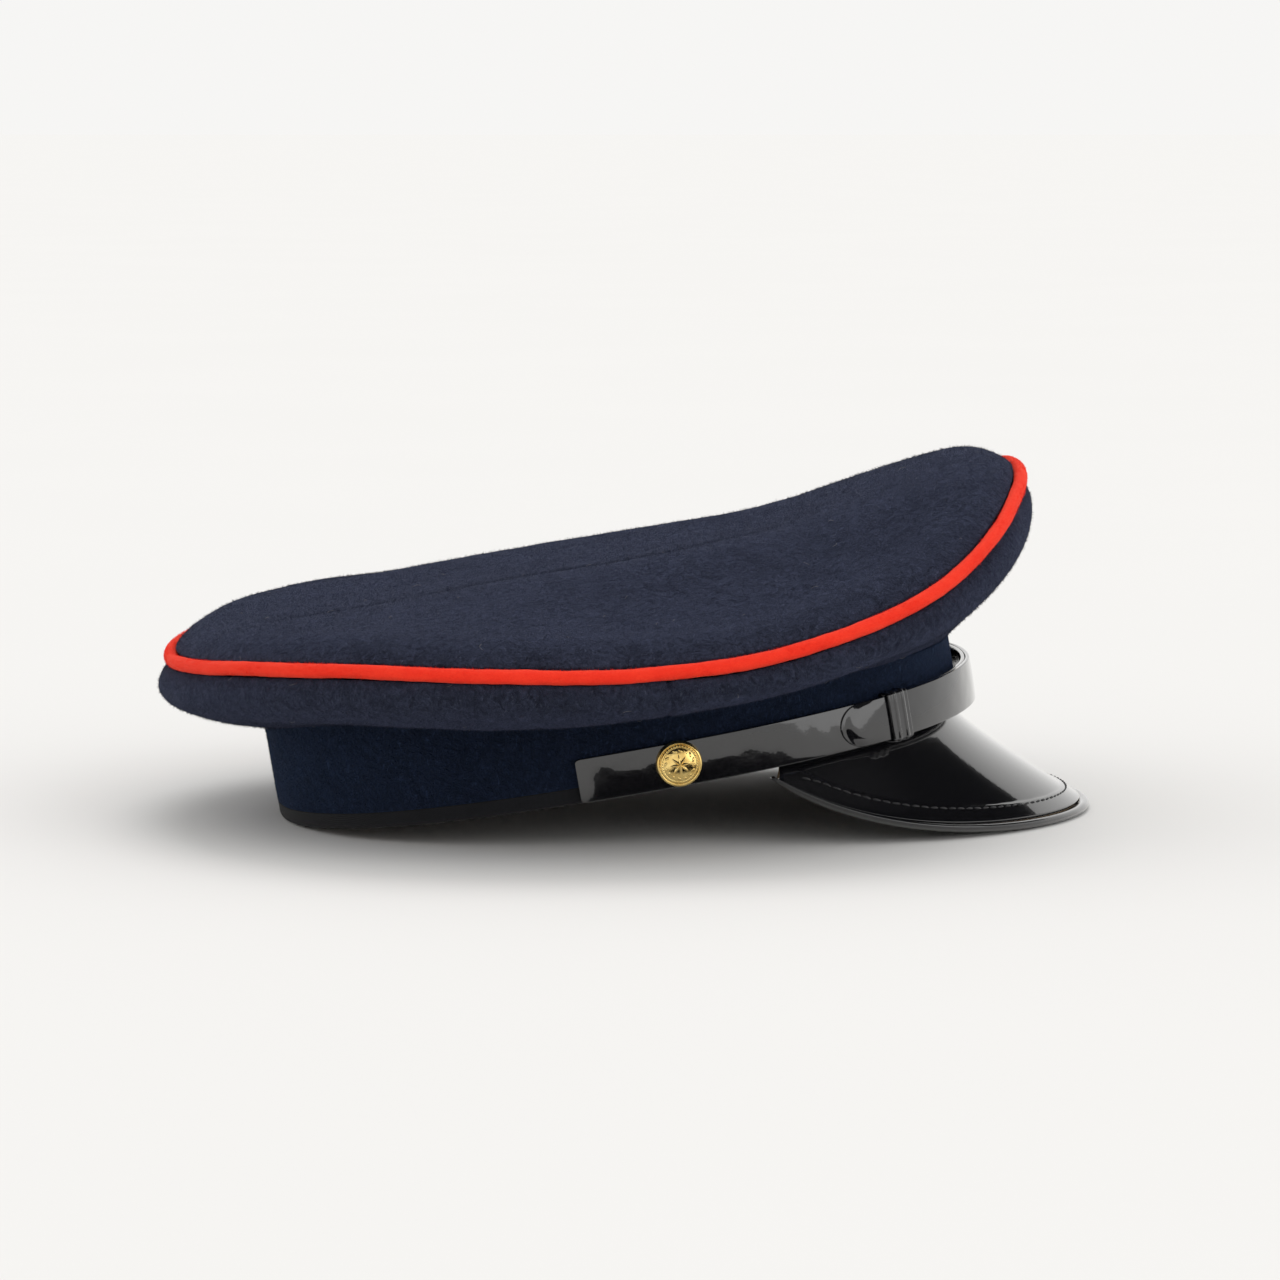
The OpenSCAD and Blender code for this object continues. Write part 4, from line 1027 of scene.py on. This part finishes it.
half_w, half_h = BADGE_WIDTH / 2, BADGE_HEIGHT / 2
plate_points, plate_faces = relief(1.0, plate_height, 0.1, 160, 50)
badge_piece("badge_field", plate_points * [half_w - 1.4, half_h - 1.4, 1], plate_faces, "badge_plate")
oval_turn = np.linspace(0, 2 * math.pi, 360, endpoint=False)
rim_line = on_front(polar(oval_turn, 1, 0.85) * [half_w - 0.75, half_h - 0.75, 1])
cord_turn = np.linspace(0, 2 * math.pi, 16, endpoint=False)
twist = 0.12 * np.cos(2 * (cord_turn[None, :] - 30 * oval_turn[:, None])) - 0.05
make("badge_rope_rim", *tube(rim_line, 0.72, 16, True, up=(1, 0, 0.9), ripple=twist), GILT, "cap",
     ["badge_rim"], "gilt")
badge_piece("badge_rayed_star", *relief(9.6, badge_star_height, 0.95, 256, 50), "badge_star")
pearl_r, pearl_turn = 1.3, np.linspace(0, math.pi, 20)[1:-1, None]
pearl_rings = pearl_r * polar(cord_turn, np.sin(pearl_turn), np.cos(pearl_turn))
pearl_points, pearl_faces = disc([0, 0, pearl_r], pearl_rings, [0, 0, -pearl_r])
badge_piece("badge_pearl", pearl_points + [0, -half_h - 1.4, 1], pearl_faces, "badge_ball")

# Small machined pieces keep their exact shape
kept = {"crown_wire_ferrule": BRASS, "band_stiffener": BUCKRAM, "badge_lugs": GILT, "badge_pin": STEEL}
for side in ("right", "left"):
    kept |= {f"button_back_{side}": GILT, f"button_shank_{side}": GILT, f"split_ring_{side}": STEEL}
for node, finish in kept.items():
    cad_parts[node].data.materials.clear()
    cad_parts[node].data.materials.append(finish)


# ---------------------------------------------------------------- floor, light and camera
def stage_piece(name, points, faces, material):
    """A mesh that belongs to the studio and not to the cap."""
    mesh = bpy.data.meshes.new(name)
    mesh.from_pydata(points, [], faces)
    mesh.materials.append(material)
    piece = placed(name, mesh)
    return piece


def pale_floor(sides=96):
    """Seamless pale ground, clear from below, so wide that its edge lies at the horizon."""
    turn = np.linspace(0, 2 * math.pi, sides, endpoint=False)
    points = [[0, 0, 0]] + [[r * math.cos(a), r * math.sin(a), 0] for r in (0.5, 3, 20, 90) for a in turn]
    faces = [[0, 1 + k, 1 + (k + 1) % sides] for k in range(sides)]
    faces += [face[::-1] for face in grid_faces(4, sides, False, True, 1)]
    s = Surface("studio_paper", Roughness=1.0, Specular_IOR_Level=0.0)
    s.finish(Base_Color=s.ramp(s.noise(3, 2), [(0.3, (0.797, 0.791, 0.781)), (0.7, (0.803, 0.797, 0.787))]))
    back = s.node("NewGeometry").outputs["Backfacing"]
    clear = s.node("BsdfTransparent").outputs[0]
    mix = s.node("MixShader", {0: back, 1: s.shader.outputs[0], 2: clear})
    s.tree.links.new(mix.outputs[0], s.tree.nodes["Material Output"].inputs["Surface"])
    stage_piece("pale_floor", points, faces, s.material)


def sun(name, azimuth, height, spread, strength):
    """Soft light from far away; the azimuth is counted from +X."""
    lamp = bpy.data.lights.new(name, "SUN")
    lamp.energy, lamp.angle = strength, math.radians(spread)
    a, h = math.radians(azimuth), math.radians(height)
    toward = Vector((math.cos(a) * math.cos(h), math.sin(a) * math.cos(h), math.sin(h)))
    placed(name, lamp).rotation_euler = toward.to_track_quat("Z", "Y").to_euler()


def dark_card(name, low_x, high_x, low_y, high_y, z):
    """Level black card that shows only in reflections, where it paints dark reflections, as a studio's flags
    do.
    """
    s = Surface(name + "_cloth", Roughness=1.0, Specular_IOR_Level=0.0)
    s.finish(Base_Color=s.ramp(s.noise(20, 2), [(0.3, (0.004,) * 3), (0.7, (0.007,) * 3)]))
    corners = [(low_x, low_y, z), (high_x, low_y, z), (high_x, high_y, z), (low_x, high_y, z)]
    card = stage_piece(name, corners, [[0, 1, 2, 3]], s.material)
    card.visible_camera = card.visible_diffuse = card.visible_shadow = card.visible_transmission = False


pale_floor()
sun("high_back_sun", 78, 62, 34, 0.60)
sun("front_sun", -38, 24, 50, 0.50)
# Painted dark reflections: black cards that show only in glossy surfaces, one on the floor in front of the
# cap and one overhead
dark_card("near_dark_reflection_card", -0.02, 0.17, -0.31, -0.125, 0.001)
dark_card("overhead_dark_reflection_card", -1.6, 1.45, -1.1, 0.92, 0.9)

world = bpy.data.worlds.new("studio")
world.use_nodes = True
world.node_tree.nodes["Background"].inputs["Color"].default_value = (1, 0.994, 0.98, 1)
world.node_tree.nodes["Background"].inputs["Strength"].default_value = 0.925
bpy.context.scene.world = world
bpy.context.scene.view_settings.view_transform = "Standard"

# The view: almost square to the wearer's right side, from a little above
AZIMUTH, ELEVATION, DISTANCE, LENS = math.radians(-4.522), math.radians(7.873), 1.43975, 130.1
BAND_BASE = Vector((-0.0029, 0, 0.0174))
across = Vector((math.cos(AZIMUTH), math.sin(AZIMUTH), 0))
away = math.cos(ELEVATION) * Vector((math.sin(AZIMUTH), -math.cos(AZIMUTH), math.tan(ELEVATION)))
camera = placed("camera", bpy.data.cameras.new("camera"))
camera.data.lens, camera.data.sensor_width = LENS, 36
camera.data.clip_start, camera.data.clip_end = 0.05, 50
camera.location = BAND_BASE + away * DISTANCE
# The look-at point lies this far across and above the middle of the band's base
LOOK_ACROSS, LOOK_ABOVE = 0.00669, 0.03498
look_at = BAND_BASE + across * LOOK_ACROSS + away.cross(across) * LOOK_ABOVE
camera.rotation_mode = "QUATERNION"
camera.rotation_quaternion = (look_at - camera.location).to_track_quat("-Z", "Y")
bpy.context.scene.camera = camera
